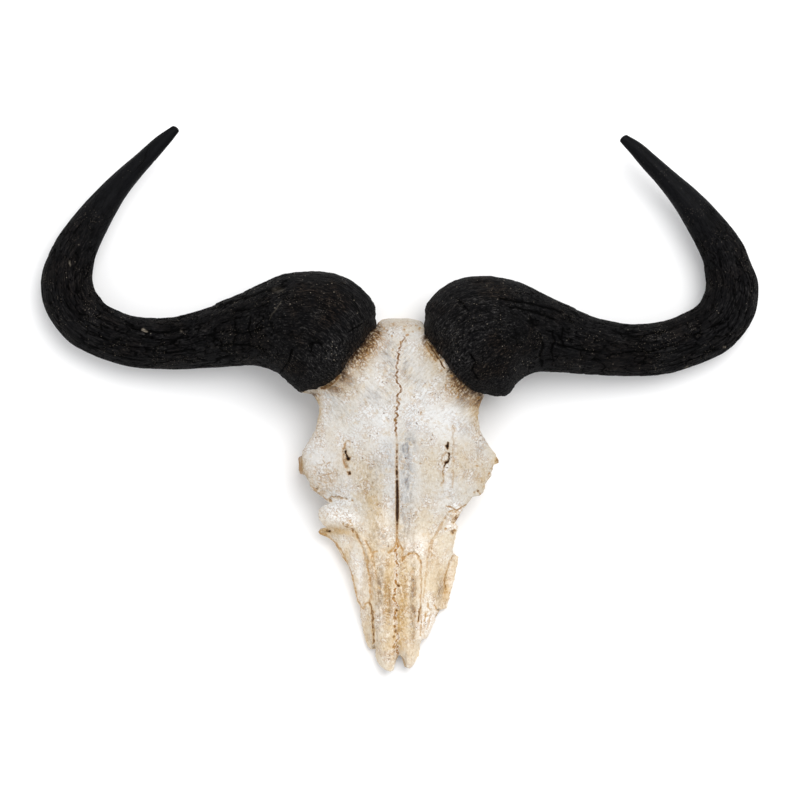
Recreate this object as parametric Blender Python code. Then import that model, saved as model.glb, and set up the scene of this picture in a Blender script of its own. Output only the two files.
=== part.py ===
"""A wildebeest skull plate lying face up on its sawn back: the bone plate, and two horn sheaths.

Row frame: +Z up out of the forehead, +Y from the nose towards the poll, +X to the right as one
looks at the face. The sawn back is the plane z = 0 and the plate's middle line is x = 0. The
drawing is in millimetres.
"""

import math

import bmesh
import bpy
import numpy as np
from mathutils import Vector

MM = 0.001

# Driving sizes
NOSE_Y = -246.0  # tip of the longer nasal bone
FORK_Y = -216.0  # from here down the plate ends in two nasal tips
RIM = 4.0  # thickness of the bone's free edges
SEAT_GAP = 0.3  # between a horn sheath and the bone that it sits on
ROW_SPACING = 6.5  # the longest step between two stations of the plate
SHORTEST_STEP = 1.2
HORN_SIDES = 20
RINGS_PER_RIB = 2

# The flat upright seat of each horn: a point on it, and its outward direction. The outlines
# below follow these seats
RIGHT_SEAT = {"point": (46, 32), "outward": (0.726, 0.688)}
LEFT_SEAT = {"point": (-44, 33), "outward": (-0.713, 0.701)}
HORN_BASE = {"half_width": 35.5, "z": 50, "half_depth": 35}

# The dome of the face, as (y, value) from poll to nose: its height on the middle line, its height
# at the side, how far out the side is, and how square the section is
CROWN = [(74, 16), (73, 30), (71, 43), (67, 54), (60, 63), (50, 70), (35, 75), (15, 78), (-5, 79), (-30, 77)]
CROWN += [(-60, 72), (-90, 65), (-120, 57), (-150, 48), (-180, 40), (-210, 31), (-235, 23), (-246, 18)]
SIDE_HEIGHT = [(74, 12), (71, 28), (66, 38), (50, 50), (20, 58), (-10, 60), (-35, 57), (-52, 51), (-75, 50)]
SIDE_HEIGHT += [(-88, 47), (-100, 41), (-114, 32), (-124, 22), (-138, 16), (-160, 11), (-200, 9), (-246, 11)]
SIDE_WIDTH = [(74, 40), (60, 58), (40, 72), (25, 79), (10, 80), (-14, 74), (-30, 78), (-45, 86), (-60, 86)]
SIDE_WIDTH += [(-75, 81), (-90, 73), (-105, 67), (-120, 60), (-135, 54), (-151, 48), (-187, 38), (-212, 29)]
SIDE_WIDTH += [(-232, 20), (-246, 15)]
SIDE_SLOPE = 0.3
SQUARENESS = [(74, 2.0), (20, 2.0), (-60, 2.3), (-100, 2.8), (-130, 3.6), (-246, 4.2)]

# Half widths of the plate seen from the front, as (y, distance from the middle line)
LEFT_EDGE = [(74, 8), (72.5, 14), (69.5, 17.5), (59.9, 17.5), (6.5, 70.0), (5.5, 76.5), (0, 72)]
LEFT_EDGE += [(-6, 70), (-14, 70.5), (-26, 73.5), (-34, 78), (-42, 83), (-49, 86), (-62, 85)]
LEFT_EDGE += [(-68, 82.5), (-74, 78.5), (-79, 76), (-83, 70), (-89.5, 63), (-92.5, 61), (-95, 67)]
LEFT_EDGE += [(-99, 70.5), (-106, 71.5), (-112.5, 68), (-115, 66), (-117, 71), (-120.5, 71)]
LEFT_EDGE += [(-124, 63), (-129, 57), (-142, 50), (-151, 44), (-166, 40), (-182, 37), (-187, 34)]
LEFT_EDGE += [(-201, 32.5), (-212, 29.5), (-226, 24), (-228.5, 21), (-232, 20), (-246, 19.3)]
RIGHT_EDGE = [(74, 9), (72.5, 16), (70, 21), (58.4, 21), (3.5, 73.0), (2.5, 77.5), (-6, 73.5)]
RIGHT_EDGE += [(-14, 72), (-24, 73.5), (-34, 77.5), (-42, 83), (-49, 88.5), (-54, 91), (-58, 87.5)]
RIGHT_EDGE += [(-66, 85.5), (-70, 83), (-75, 79.5), (-83, 77), (-86.5, 73), (-87.5, 66.5)]
RIGHT_EDGE += [(-94, 61.5), (-102, 56), (-109, 49.5), (-113, 54.5), (-117, 53.5), (-126, 52)]
RIGHT_EDGE += [(-135, 50), (-140, 51), (-142.5, 55.5), (-159, 52), (-176, 48), (-189, 44)]
RIGHT_EDGE += [(-191, 38), (-198, 35), (-211, 29), (-217, 25), (-218.5, 20.5), (-246, 18)]

# Where the side walls meet the sawn back; the bone bars behind and before each eye socket stand out
LEFT_FOOT = [(74, 8), (69.5, 17.5), (59.9, 17.5), (18, 58.7), (2, 48), (-20, 43), (-43, 43)]
LEFT_FOOT += [(-49, 76), (-54, 86), (-64, 86), (-69, 74), (-74, 42), (-82, 35), (-98, 36)]
LEFT_FOOT += [(-106, 46), (-111, 63), (-122, 61), (-130, 51), (-151, 40), (-187, 31), (-212, 26)]
LEFT_FOOT += [(-230, 18), (-246, 17)]
RIGHT_FOOT = [(74, 9), (70, 21), (58.4, 21), (16, 61.2), (0, 48), (-20, 43), (-43, 43)]
RIGHT_FOOT += [(-49, 74), (-53, 84), (-60, 84), (-66, 70), (-73, 42), (-82, 35), (-98, 36)]
RIGHT_FOOT += [(-104, 42), (-112, 48), (-130, 46), (-151, 50), (-176, 45), (-190, 36), (-212, 26)]
RIGHT_FOOT += [(-230, 17), (-246, 16)]
# The thin tips of the nose, and the broken side plate on the right, end above the sawn back
FOOT_HEIGHT = {
    "left": [(74, 0), (-218, 0), (-226, 5), (-246, 5)],
    "right": [(74, 0), (-126, 0), (-140, 6), (-205, 6), (-218, 4), (-226, 5), (-246, 5)],
}

# The hollow of the back: the brain case, a wall of bone across the plate, then the nose
HOLLOW_HALF_WIDTH = [(74, 5), (66, 9), (60, 12), (50, 20), (40, 30), (30, 37), (10, 41), (-20, 37), (-45, 35)]
HOLLOW_HALF_WIDTH += [(-60, 30), (-76, 28), (-100, 30), (-112, 41), (-130, 43), (-150, 36), (-187, 27)]
HOLLOW_HALF_WIDTH += [(-212, 21), (-230, 14.5), (-246, 13)]
HOLLOW_HEIGHT = [(74, 0), (66, 0), (60, 20), (52, 40), (40, 57), (20, 66), (-10, 69), (-34, 64), (-46, 52)]
HOLLOW_HEIGHT += [(-52, 32), (-56, 0), (-70, 0), (-74, 32), (-80, 48), (-95, 54), (-120, 49), (-150, 41)]
HOLLOW_HEIGHT += [(-180, 33), (-212, 25), (-235, 17), (-246, 12)]
HOLLOW_SQUARENESS = 5

# Low relief of the face
SPLIT = {"top": -40.0, "bottom": -125.0, "half_width": 1.7, "depth": 7.0}  # the open seam
NASAL = {"top": -136.0, "centre": 10.5, "half_width": 10.5, "crown": 3.0}  # the bones of the nose
BROW_GROOVE = {"top": -34.0, "bottom": -88.0, "x": 48.0, "half_width": 4.0, "depth": 2.6}
COLLAR = {"height": 17.0, "width": 15.0, "half_length": 44.0}  # bone that rises to a horn
# How far down the lowest stations reach, as a share, across the two nasal tips and the fork
TIP_FORK = [(-19, 0.62), (-16, 0.82), (-11, 0.94), (-7, 1.0), (-4.5, 0.96), (-3, 0.86)]
TIP_FORK += [(-1.5, 0.6), (0, 0.48), (4.5, 0.54), (7, 0.64), (8.5, 0.85), (10.5, 0.91)]
TIP_FORK += [(13, 0.85), (16, 0.7), (18, 0.55)]

# Ribs of the horns, base to tip: x and y of the upper or inner side, x and y of the lower or outer
# side, z of the middle, half depth
RIGHT_HORN = [
    (23, 70, 77, 4.5, 51, 40),
    (24.5, 80, 86, 3.5, 52, 43),
    (31, 92, 92, 4, 53, 45),
    (42, 102, 96.5, 5, 54, 46.5),
    (56, 109.3, 100, 7.5, 54, 47),
    (73, 112, 103, 11, 53.5, 47),
    (90, 110.7, 107, 15, 52.5, 46),
    (110, 105.5, 114, 21, 51, 42),
    (130, 96, 124.5, 25, 48, 37),
    (149.5, 87, 140, 26, 45, 32.5),
    (180.5, 74, 173.5, 24, 39, 27.5),
    (210, 68, 210, 22.5, 33.5, 24),
    (238.5, 70.5, 248.5, 26, 30, 22.5),
    (261.5, 80.5, 288, 41, 28.5, 22),
    (270.5, 87.5, 307, 56, 28.5, 22),
    (275, 95, 320, 78, 28.5, 22),
    (277.5, 104, 324, 103.5, 29, 21.5),
    (273.5, 128, 307.5, 144.5, 31, 18.5),
    (260, 155.5, 283.5, 173, 34, 15),
    (242.5, 183, 258, 197.5, 37.5, 11),
    (221, 208.5, 231.5, 219.5, 41, 7.5),
    (201.5, 233, 205.5, 236.7, 44.5, 2.6),
]
LEFT_HORN = [
    (-18.5, 71, -79, 6.5, 51, 40),
    (-20.5, 82, -87, 7.5, 52, 43),
    (-28.5, 94, -92, 9.5, 53, 45),
    (-42, 106, -96, 12.5, 54, 46.5),
    (-59, 113.5, -99, 16.5, 54, 47),
    (-80, 115.5, -102.5, 20, 53.5, 47),
    (-104, 113, -109, 25.5, 52.5, 46),
    (-127, 103, -120, 29.5, 50, 41),
    (-145.5, 94, -134, 32, 47, 36),
    (-177, 81.5, -168, 29.5, 41, 29.5),
    (-207.5, 74.5, -206, 28.5, 34.5, 25),
    (-236.5, 75, -246, 32, 30, 22.5),
    (-260, 85, -286, 46.5, 28.5, 22),
    (-269, 93, -305, 62, 28.5, 22),
    (-273.5, 99.5, -318.5, 84.5, 28.5, 22),
    (-275.5, 109, -320, 110.5, 29, 21.5),
    (-271, 134.5, -303, 150.5, 31, 18),
    (-258, 163, -280.5, 179, 34, 14.5),
    (-240.5, 190, -256.5, 204, 37, 11),
    (-221, 215, -230.5, 225.5, 40.5, 7.5),
    (-197, 243.5, -199.5, 246.3, 45, 1.8),
]

# Columns over the face from the middle line to the edge, and down the side wall
FACE_SHARES = [0.0, 0.035, 0.11, 0.22, 0.34, 0.47, 0.6, 0.74, 0.88, 1.0]
WALL_SHARES = [0.0, 0.3, 0.6, 0.82, 1.0]
EVERY = 2  # the hollow has one column and one row for this many of the outside


def smooth(points, at):
    """The curve through the points at the places asked for, cubic and without overshoot."""
    table = np.array(sorted(points), float)
    x, y = table[:, 0], table[:, 1]
    step = np.diff(x)
    slope = np.diff(y) / step
    same_way = slope[:-1] * slope[1:] > 0
    total = slope[:-1] + slope[1:]
    mean = np.zeros_like(total)
    mean[same_way] = 2 * (slope[:-1] * slope[1:])[same_way] / total[same_way]
    return hermite(x, y, np.concatenate([[slope[0]], mean, [slope[-1]]]), at)


def flowing(values, at):
    """The cubic curve through evenly counted values, each tangent along its two neighbours."""
    return hermite(np.arange(len(values)), values, np.gradient(values), at)


def hermite(x, y, tangent, at):
    """A cubic in each interval, from the values and tangents at its ends."""
    at = np.clip(np.asarray(at, float), x[0], x[-1])
    i = np.clip(np.searchsorted(x, at, side="right") - 1, 0, len(x) - 2)
    step = x[i + 1] - x[i]
    t = (at - x[i]) / step
    ends = y[i] * (1 + 2 * t) * (1 - t) ** 2 + y[i + 1] * t * t * (3 - 2 * t)
    return ends + step * (tangent[i] * t * (1 - t) ** 2 - tangent[i + 1] * t * t * (1 - t))


def straight(points, at):
    """The broken line through the points."""
    table = np.array(sorted(points), float)
    return np.interp(at, table[:, 0], table[:, 1])


def between(y, top, bottom, fade=6.0):
    """1 between two stations and 0 outside them, with soft ends."""
    return min(max((top - y) / fade, 0), 1) * min(max((y - bottom) / fade, 0), 1)


def bump(distance, half_width):
    """1 on a line, falling to 0 at its half width."""
    return max(1 - (distance / half_width) ** 2, 0)


def collar(x, y, seat):
    """The flare of the bone up to a horn: highest on the seat, lower inwards and to its ends."""
    dx, dy = x - seat["point"][0], y - seat["point"][1]
    out_x, out_y = seat["outward"]
    inwards = max(-(dx * out_x + dy * out_y), 0)
    along = dx * out_y - dy * out_x
    fall = math.exp(-((inwards / COLLAR["width"]) ** 2))
    return COLLAR["height"] * fall * bump(along, COLLAR["half_length"])


def relief(x, y):
    """What stands proud of, or is sunk in, the plain dome of the face."""
    split = bump(x, SPLIT["half_width"]) * between(y, SPLIT["top"], SPLIT["bottom"], 20.0)
    nasal = bump(abs(x) - NASAL["centre"], NASAL["half_width"]) * between(y, NASAL["top"], NOSE_Y - 20)
    brow = bump(abs(x) - BROW_GROOVE["x"], BROW_GROOVE["half_width"])
    brow = brow * between(y, BROW_GROOVE["top"], BROW_GROOVE["bottom"], 12.0)
    raised = NASAL["crown"] * nasal + collar(x, y, LEFT_SEAT) + collar(x, y, RIGHT_SEAT)
    return raised - SPLIT["depth"] * split - BROW_GROOVE["depth"] * brow


def dome(x, y):
    """Height of the face at a point seen from the front; past the dome's side it falls off gently."""
    crown, side, width = (float(smooth(table, y)) for table in (CROWN, SIDE_HEIGHT, SIDE_WIDTH))
    share = min(abs(x) / width, 1)
    fall = SIDE_SLOPE * max(abs(x) - width, 0)
    return side + (crown - side) * (1 - share ** float(smooth(SQUARENESS, y))) - fall + relief(x, y)


def outer_side(y, side):
    """Half of the outside across the plate, from the middle line over the edge to the foot."""
    sign = -1 if side == "left" else 1
    edge = float(straight(LEFT_EDGE if side == "left" else RIGHT_EDGE, y))
    foot = min(float(straight(LEFT_FOOT if side == "left" else RIGHT_FOOT, y)), edge + 3.0)
    points = [(sign * edge * share, dome(sign * edge * share, y)) for share in FACE_SHARES]
    # The wall starts under the edge and curves in to the foot, as the roof of an eye socket does.
    start = np.array([edge, points[-1][1] - RIM])
    turn = np.array([foot, points[-1][1] - RIM - 3])
    end = np.array([foot, float(straight(FOOT_HEIGHT[side], y))])
    for t in WALL_SHARES:
        x, z = start * (1 - t) ** 2 + turn * 2 * t * (1 - t) + end * t * t
        points.append((sign * x, z))
    return points


def outer_row(y):
    """The outside across the plate, from the left foot to the right foot."""
    left, right = outer_side(y, "left"), outer_side(y, "right")
    return left[:0:-1] + right


def inner_row(y, count):
    """The hollow across the plate, from the left to the right."""
    half, height = float(smooth(HOLLOW_HALF_WIDTH, y)), float(smooth(HOLLOW_HEIGHT, y))
    turns = np.linspace(-1, 1, count)
    across = np.sin(turns * math.pi / 2)
    left_z, right_z = (float(straight(FOOT_HEIGHT[side], y)) for side in ("left", "right"))
    floor = np.where(turns < 0, left_z, right_z) * np.abs(turns) ** 4
    z = np.maximum(height * (1 - np.abs(across) ** HOLLOW_SQUARENESS), floor)
    return list(zip(half * across, z))


def fork(x, y):
    """Draws the lowest stations up between the two nasal tips."""
    if y > FORK_Y:
        return y
    return FORK_Y + (y - FORK_Y) * float(straight(TIP_FORK, x))


def stations():
    """Rows of the plate: each corner of its outline, and others so that no step is long."""
    corners = sorted({y for y, _ in LEFT_EDGE + RIGHT_EDGE}, reverse=True)
    kept = [corners[0]]
    for y in corners[1:]:
        if kept[-1] - y < SHORTEST_STEP:
            continue
        steps = math.ceil((kept[-1] - y) / ROW_SPACING)
        kept += list(np.linspace(kept[-1], y, steps + 1)[1:])
    kept[-1] = NOSE_Y
    if len(kept) % EVERY == 0:
        kept.insert(2, (kept[1] + kept[2]) / 2)
    return kept


def strip(mesh, fine, coarse):
    """Faces between a run of points and another with one point for every few of the first."""
    for i in range(len(coarse) - 1):
        run = fine[i * EVERY : (i + 1) * EVERY + 1]
        mesh.faces.new(run + [coarse[i + 1], coarse[i]])


def sheet(mesh, rows):
    for upper, lower in zip(rows, rows[1:]):
        for i in range(len(upper) - 1):
            mesh.faces.new([upper[i], upper[i + 1], lower[i + 1], lower[i]])


def add_object(mesh, name, material, sharp_from):
    """The mesh as a named object, with its outside facing out and its round parts shaded smooth."""
    bmesh.ops.recalc_face_normals(mesh, faces=mesh.faces)
    data = bpy.data.meshes.new(name)
    mesh.to_mesh(data)
    mesh.free()
    data.materials.append(material)
    data.shade_smooth()
    data.set_sharp_from_angle(angle=math.radians(sharp_from))
    bpy.context.scene.collection.objects.link(bpy.data.objects.new(name, data))


def seat_directions(seat):
    """The seat's outward direction, and the direction along it towards the poll."""
    outward = Vector(seat["outward"]).normalized()
    return outward, Vector((-math.copysign(outward.y, outward.x), abs(outward.x)))


def skull_plate(material):
    """The bone: an outside and a hollow, joined along the sawn rim and at both ends."""
    mesh = bmesh.new()
    rows = stations()
    outer, inner = [], []
    for y in rows:
        outer.append([mesh.verts.new(Vector((x, fork(x, y), z)) * MM) for x, z in outer_row(y)])
    count = (len(outer[0]) - 1) // EVERY + 1
    for y in rows[::EVERY]:
        inner.append([mesh.verts.new(Vector((x, fork(x, y), z)) * MM) for x, z in inner_row(y, count)])
    sheet(mesh, outer)
    sheet(mesh, inner)
    strip(mesh, outer[0], inner[0])
    strip(mesh, outer[-1], inner[-1])
    strip(mesh, [row[0] for row in outer], [row[0] for row in inner])
    strip(mesh, [row[-1] for row in outer], [row[-1] for row in inner])
    add_object(mesh, "skull_plate", material, 40)


def base_rib(seat):
    """The rib of a horn that lies on its seat."""
    outward, along = seat_directions(seat)
    middle = Vector(seat["point"]) + outward * SEAT_GAP
    reach = along * HORN_BASE["half_width"]
    return (*(middle + reach), *(middle - reach), HORN_BASE["z"], HORN_BASE["half_depth"])


def horn_sheath(name, ribs, seat, material):
    """A horn: oval rings carried through its ribs, closed flat on the seat and at the blunt tip."""
    table = np.array([base_rib(seat)] + ribs, float)
    places = np.linspace(0, len(table) - 1, (len(table) - 1) * RINGS_PER_RIB + 1)
    mesh = bmesh.new()
    rings = []
    ribs_between = np.column_stack([flowing(column, places) for column in table.T])
    for upper_x, upper_y, lower_x, lower_y, z, half_depth in ribs_between:
        middle = Vector(((upper_x + lower_x) / 2, (upper_y + lower_y) / 2, z))
        across = Vector((upper_x, upper_y, z)) - middle
        ring = []
        for turn in np.linspace(0, 2 * math.pi, HORN_SIDES, endpoint=False):
            point = middle + across * math.cos(turn) + Vector((0, 0, half_depth)) * math.sin(turn)
            ring.append(mesh.verts.new(point * MM))
        rings.append(ring + [ring[0]])
    sheet(mesh, rings)
    mesh.faces.new(rings[0][:-1])
    mesh.faces.new(rings[-1][:-1])
    add_object(mesh, name, material, 50)


def material(name, colour, roughness):
    """Principled BSDF with a plain colour."""
    made = bpy.data.materials.new(name)
    made.use_nodes = True
    shader = made.node_tree.nodes["Principled BSDF"]
    shader.inputs["Base Color"].default_value = (*colour, 1)
    shader.inputs["Roughness"].default_value = roughness
    shader.inputs["Metallic"].default_value = 0.0
    return made


def main():
    for thing in list(bpy.data.objects):
        bpy.data.objects.remove(thing)
    bone = material("bone", (0.72, 0.64, 0.53), 0.7)
    horn = material("horn", (0.012, 0.012, 0.013), 0.55)
    skull_plate(bone)
    horn_sheath("horn_left", LEFT_HORN, LEFT_SEAT, horn)
    horn_sheath("horn_right", RIGHT_HORN, RIGHT_SEAT, horn)


main()
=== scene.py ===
# Looks of a wildebeest skull plate: weathered bone, two black horn sheaths, a white studio floor.
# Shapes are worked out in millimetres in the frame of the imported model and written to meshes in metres.

import itertools
import math
from types import SimpleNamespace

import bpy
import numpy as np
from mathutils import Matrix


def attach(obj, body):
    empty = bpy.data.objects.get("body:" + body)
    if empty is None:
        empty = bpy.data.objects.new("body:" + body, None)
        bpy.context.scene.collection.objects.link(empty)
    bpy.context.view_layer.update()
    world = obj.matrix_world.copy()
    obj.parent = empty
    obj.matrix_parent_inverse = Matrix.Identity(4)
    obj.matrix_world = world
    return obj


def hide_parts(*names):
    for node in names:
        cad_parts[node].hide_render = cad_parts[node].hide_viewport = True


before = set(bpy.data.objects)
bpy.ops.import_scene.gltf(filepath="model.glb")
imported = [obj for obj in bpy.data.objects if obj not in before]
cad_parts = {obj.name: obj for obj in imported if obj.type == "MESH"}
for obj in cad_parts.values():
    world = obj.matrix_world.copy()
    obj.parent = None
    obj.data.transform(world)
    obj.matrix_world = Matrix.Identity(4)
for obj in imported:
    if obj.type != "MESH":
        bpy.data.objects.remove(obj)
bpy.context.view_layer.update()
print("frame loaded:", ", ".join(sorted(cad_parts)))

millimetre = 0.001
# Where the photograph's pixels lie on the object: the pixel over the frame's origin, and millimetres in a
# pixel
photo = {"originAcross": 397.5, "originDown": 400.0, "pixel": 0.9}


def onObject(pixels):
    # Pixel places as millimetres to the right of, and above, the frame's origin.
    places = np.array(pixels, float)
    flip = np.array([photo["pixel"], -photo["pixel"]])
    return (places[:, :2] - [photo["originAcross"], photo["originDown"]]) * flip


# Curves through tables of numbers


def hermite(x, y, tangent, at):
    # A cubic in each interval, from the values and the tangents at its two ends.
    at = np.clip(at, x[0], x[-1])
    i = np.clip(np.searchsorted(x, at, side="right") - 1, 0, len(x) - 2)
    step = x[i + 1] - x[i]
    t = (at - x[i]) / step
    ends = y[i] * (1 + 2 * t) * (1 - t) ** 2 + y[i + 1] * t * t * (3 - 2 * t)
    return ends + step * (tangent[i] * t * (1 - t) ** 2 - tangent[i + 1] * t * t * (1 - t))


def columnsOf(points):
    # The two columns of a table, in the order of the first.
    table = np.array(points, float)
    return table[np.argsort(table[:, 0])].T


def smoothCurve(points, at):
    # A cubic curve that doesn't overshoot: each tangent is the harmonic mean of the slopes beside it.
    x, y = columnsOf(points)
    slope = np.diff(y) / np.diff(x)
    before, after = slope[:-1], slope[1:]
    both = before + after
    mean = np.where(before * after > 0, 2 * before * after / np.where(both == 0, 1, both), 0)
    return hermite(x, y, np.concatenate([[slope[0]], mean, [slope[-1]]]), np.asarray(at, float))


def flowingCurve(values, at):
    # A cubic curve through evenly counted values, each tangent along the line between its neighbours.
    return hermite(np.arange(len(values)), values, np.gradient(values), at)


def brokenLine(points, at):
    # Straight steps between the points, read at any place.
    return np.interp(at, *columnsOf(points))


def rise(value, low, high):
    # 0 below the first limit, 1 above the second, and 3t^2 - 2t^3 between them.
    t = np.clip((value - low) / (high - low), 0, 1)
    return t * t * (3 - 2 * t)


def hill(distance, halfWidth):
    # (1 - (d/w)^2)^2: 1 on a line and 0 from its half width on.
    return np.clip(1 - (distance / halfWidth) ** 2, 0, 1) ** 2


# Random patterns in space

# Large numbers that mix the bits of a cell's coordinates into one random number
mixing = {
    "seed": 2654435761,
    "axes": (73856093, 19349663, 83492791),
    "rounds": ((15, 739982445), (12, 695872825)),
    "word": 0xFFFFFFFF,
}


def scatter(cell, seed):
    # A number from 0 to 1 for each whole cell: its coordinates times large primes, then mixed by shifts.
    word = np.full(cell.shape[:-1], seed * mixing["seed"] & mixing["word"], np.int64)
    for axis, prime in enumerate(mixing["axes"]):
        word ^= (cell[..., axis] & 0xFFFFFF) * prime & mixing["word"]
    for shift, factor in mixing["rounds"]:
        word = (word ^ (word >> shift)) * factor & mixing["word"]
    return ((word ^ (word >> 15)) & 0xFFFF) / 0xFFFF


def lumps(points, seed):
    # Value noise from -1 to 1: random numbers at whole places, blended with 3t^2 - 2t^3.
    low = np.floor(points).astype(np.int64)
    t = points - low
    t = t * t * (3 - 2 * t)
    total = np.zeros(points.shape[:-1])
    for corner in itertools.product((0, 1), repeat=3):
        weight = np.where(np.array(corner) == 1, t, 1 - t).prod(axis=-1)
        total += weight * scatter(low + np.array(corner), seed)
    return total * 2 - 1


def spread(x, y, z, sizeX, sizeY, sizeZ):
    # Points for a pattern whose features have these sizes along the three axes.
    x, y, z = np.broadcast_arrays(x, y, z)
    return np.stack([x / sizeX, y / sizeY, z / sizeZ], axis=-1)


def flatLumps(x, y, sizeX, sizeY, seed):
    # The same noise on the flat, with features of these sizes across and down.
    return lumps(spread(x, y, 0, sizeX, sizeY, 1), seed)


def cells(points, seed):
    # Irregular cells round one random place in each unit cube: how far inside its cell a point is, and the
    # cell's own random number.
    low = np.floor(points).astype(np.int64)
    nearest = np.full(points.shape[:-1], 9.0)
    second = nearest.copy()
    owner = np.zeros_like(nearest)
    for step in itertools.product((-1, 0, 1), repeat=3):
        cell = low + np.array(step)
        centre = cell + np.stack([scatter(cell, seed + k) for k in range(3)], axis=-1)
        distance = np.linalg.norm(points - centre, axis=-1)
        closer = distance < nearest
        second = np.where(closer, nearest, np.minimum(second, distance))
        owner = np.where(closer, scatter(cell, seed + 3), owner)
        nearest = np.minimum(nearest, distance)
    return second - nearest, owner


def distanceTo(line, x, y):
    # The shortest distance from each point to a broken line.
    best = np.full(np.broadcast(x, y).shape, 1000.0)
    for (x0, y0), (x1, y1) in zip(line, line[1:]):
        dx, dy = x1 - x0, y1 - y0
        t = np.clip(((x - x0) * dx + (y - y0) * dy) / (dx * dx + dy * dy), 0, 1)
        best = np.minimum(best, np.hypot(x - x0 - t * dx, y - y0 - t * dy))
    return best


# Meshes


def addObject(name, data):
    # An object of this data in the scene, at the origin.
    made = bpy.data.objects.new(name, data)
    bpy.context.scene.collection.objects.link(made)
    return made


def makePiece(name, points, faces, ends, finish, attributes):
    # A closed mesh from points in millimetres: quads, and end faces of any length. All are turned round if
    # the signed volume of the quads is below 0.
    corners = points[faces[:, :3]]
    faces = faces.tolist() + ends
    if np.einsum("ij,ij->", corners[:, 0], np.cross(corners[:, 1], corners[:, 2])) < 0:
        faces = [face[::-1] for face in faces]
    data = bpy.data.meshes.new(name)
    data.from_pydata((points * millimetre).tolist(), [], faces)
    for label, values in attributes.items():
        kind, field = ("FLOAT_VECTOR", "vector") if values.ndim == 2 else ("FLOAT", "value")
        layer = data.attributes.new(label, kind, "POINT")
        layer.data.foreach_set(field, values.astype(np.float32).ravel())
    data.materials.append(finish)
    data.shade_smooth()
    data.set_sharp_from_angle(angle=math.radians(70))
    print(f"{name}: {len(data.vertices)} points, {len(data.polygons)} faces")
    return addObject(name, data)


def gridFaces(rows, columns):
    # Quads of a grid whose columns close round into a ring.
    corner = np.arange(rows * columns).reshape(rows, columns)
    across = np.roll(corner, -1, axis=1)
    quads = np.stack([corner[:-1], corner[1:], across[1:], across[:-1]], axis=-1)
    return quads.reshape(-1, 4)


def stripFaces(upper, lower, upperPlaces, lowerPlaces):
    # Triangles between two rows of points that run the same way: each step of either row becomes one
    # triangle, in the order of the middles of the steps.
    upperSteps = (upperPlaces[1:] + upperPlaces[:-1]) / 2
    lowerSteps = (lowerPlaces[1:] + lowerPlaces[:-1]) / 2
    above = np.stack([upper[1:], upper[:-1], lower[np.searchsorted(lowerSteps, upperSteps)]], axis=-1)
    facing = upper[np.searchsorted(upperSteps, lowerSteps, side="right")]
    return np.concatenate([above, np.stack([lower[:-1], lower[1:], facing], axis=-1)]).tolist()


def fanFaces(ring, pole):
    # Triangles from a ring of points to one point.
    return np.stack([ring, np.roll(ring, -1), np.full(len(ring), pole)], axis=-1).tolist()


# Bone plate

# Where each horn sits: a point of the seat, its outward direction, and the border of the horn on the bone in
# pixels
seats = {
    "left": {
        "point": (-44, 33),
        "outward": (-0.713, 0.701),
        "border": [
            (377.5, 319.7), (376.4, 328), (371.8, 330.4), (362.7, 344.2), (352, 356.4), (345.8, 365.6),
            (341.2, 374), (332, 381.7), (311.4, 392),
        ],
    },
    "right": {
        "point": (46, 32),
        "outward": (0.726, 0.688),
        "border": [
            (423.1, 310.5), (423.9, 333.5), (430.8, 342.7), (443.6, 359.5), (447.4, 367.1), (460.2, 380.6),
            (472.2, 390.6), (483.6, 395.4),
        ],
    },
}

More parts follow.
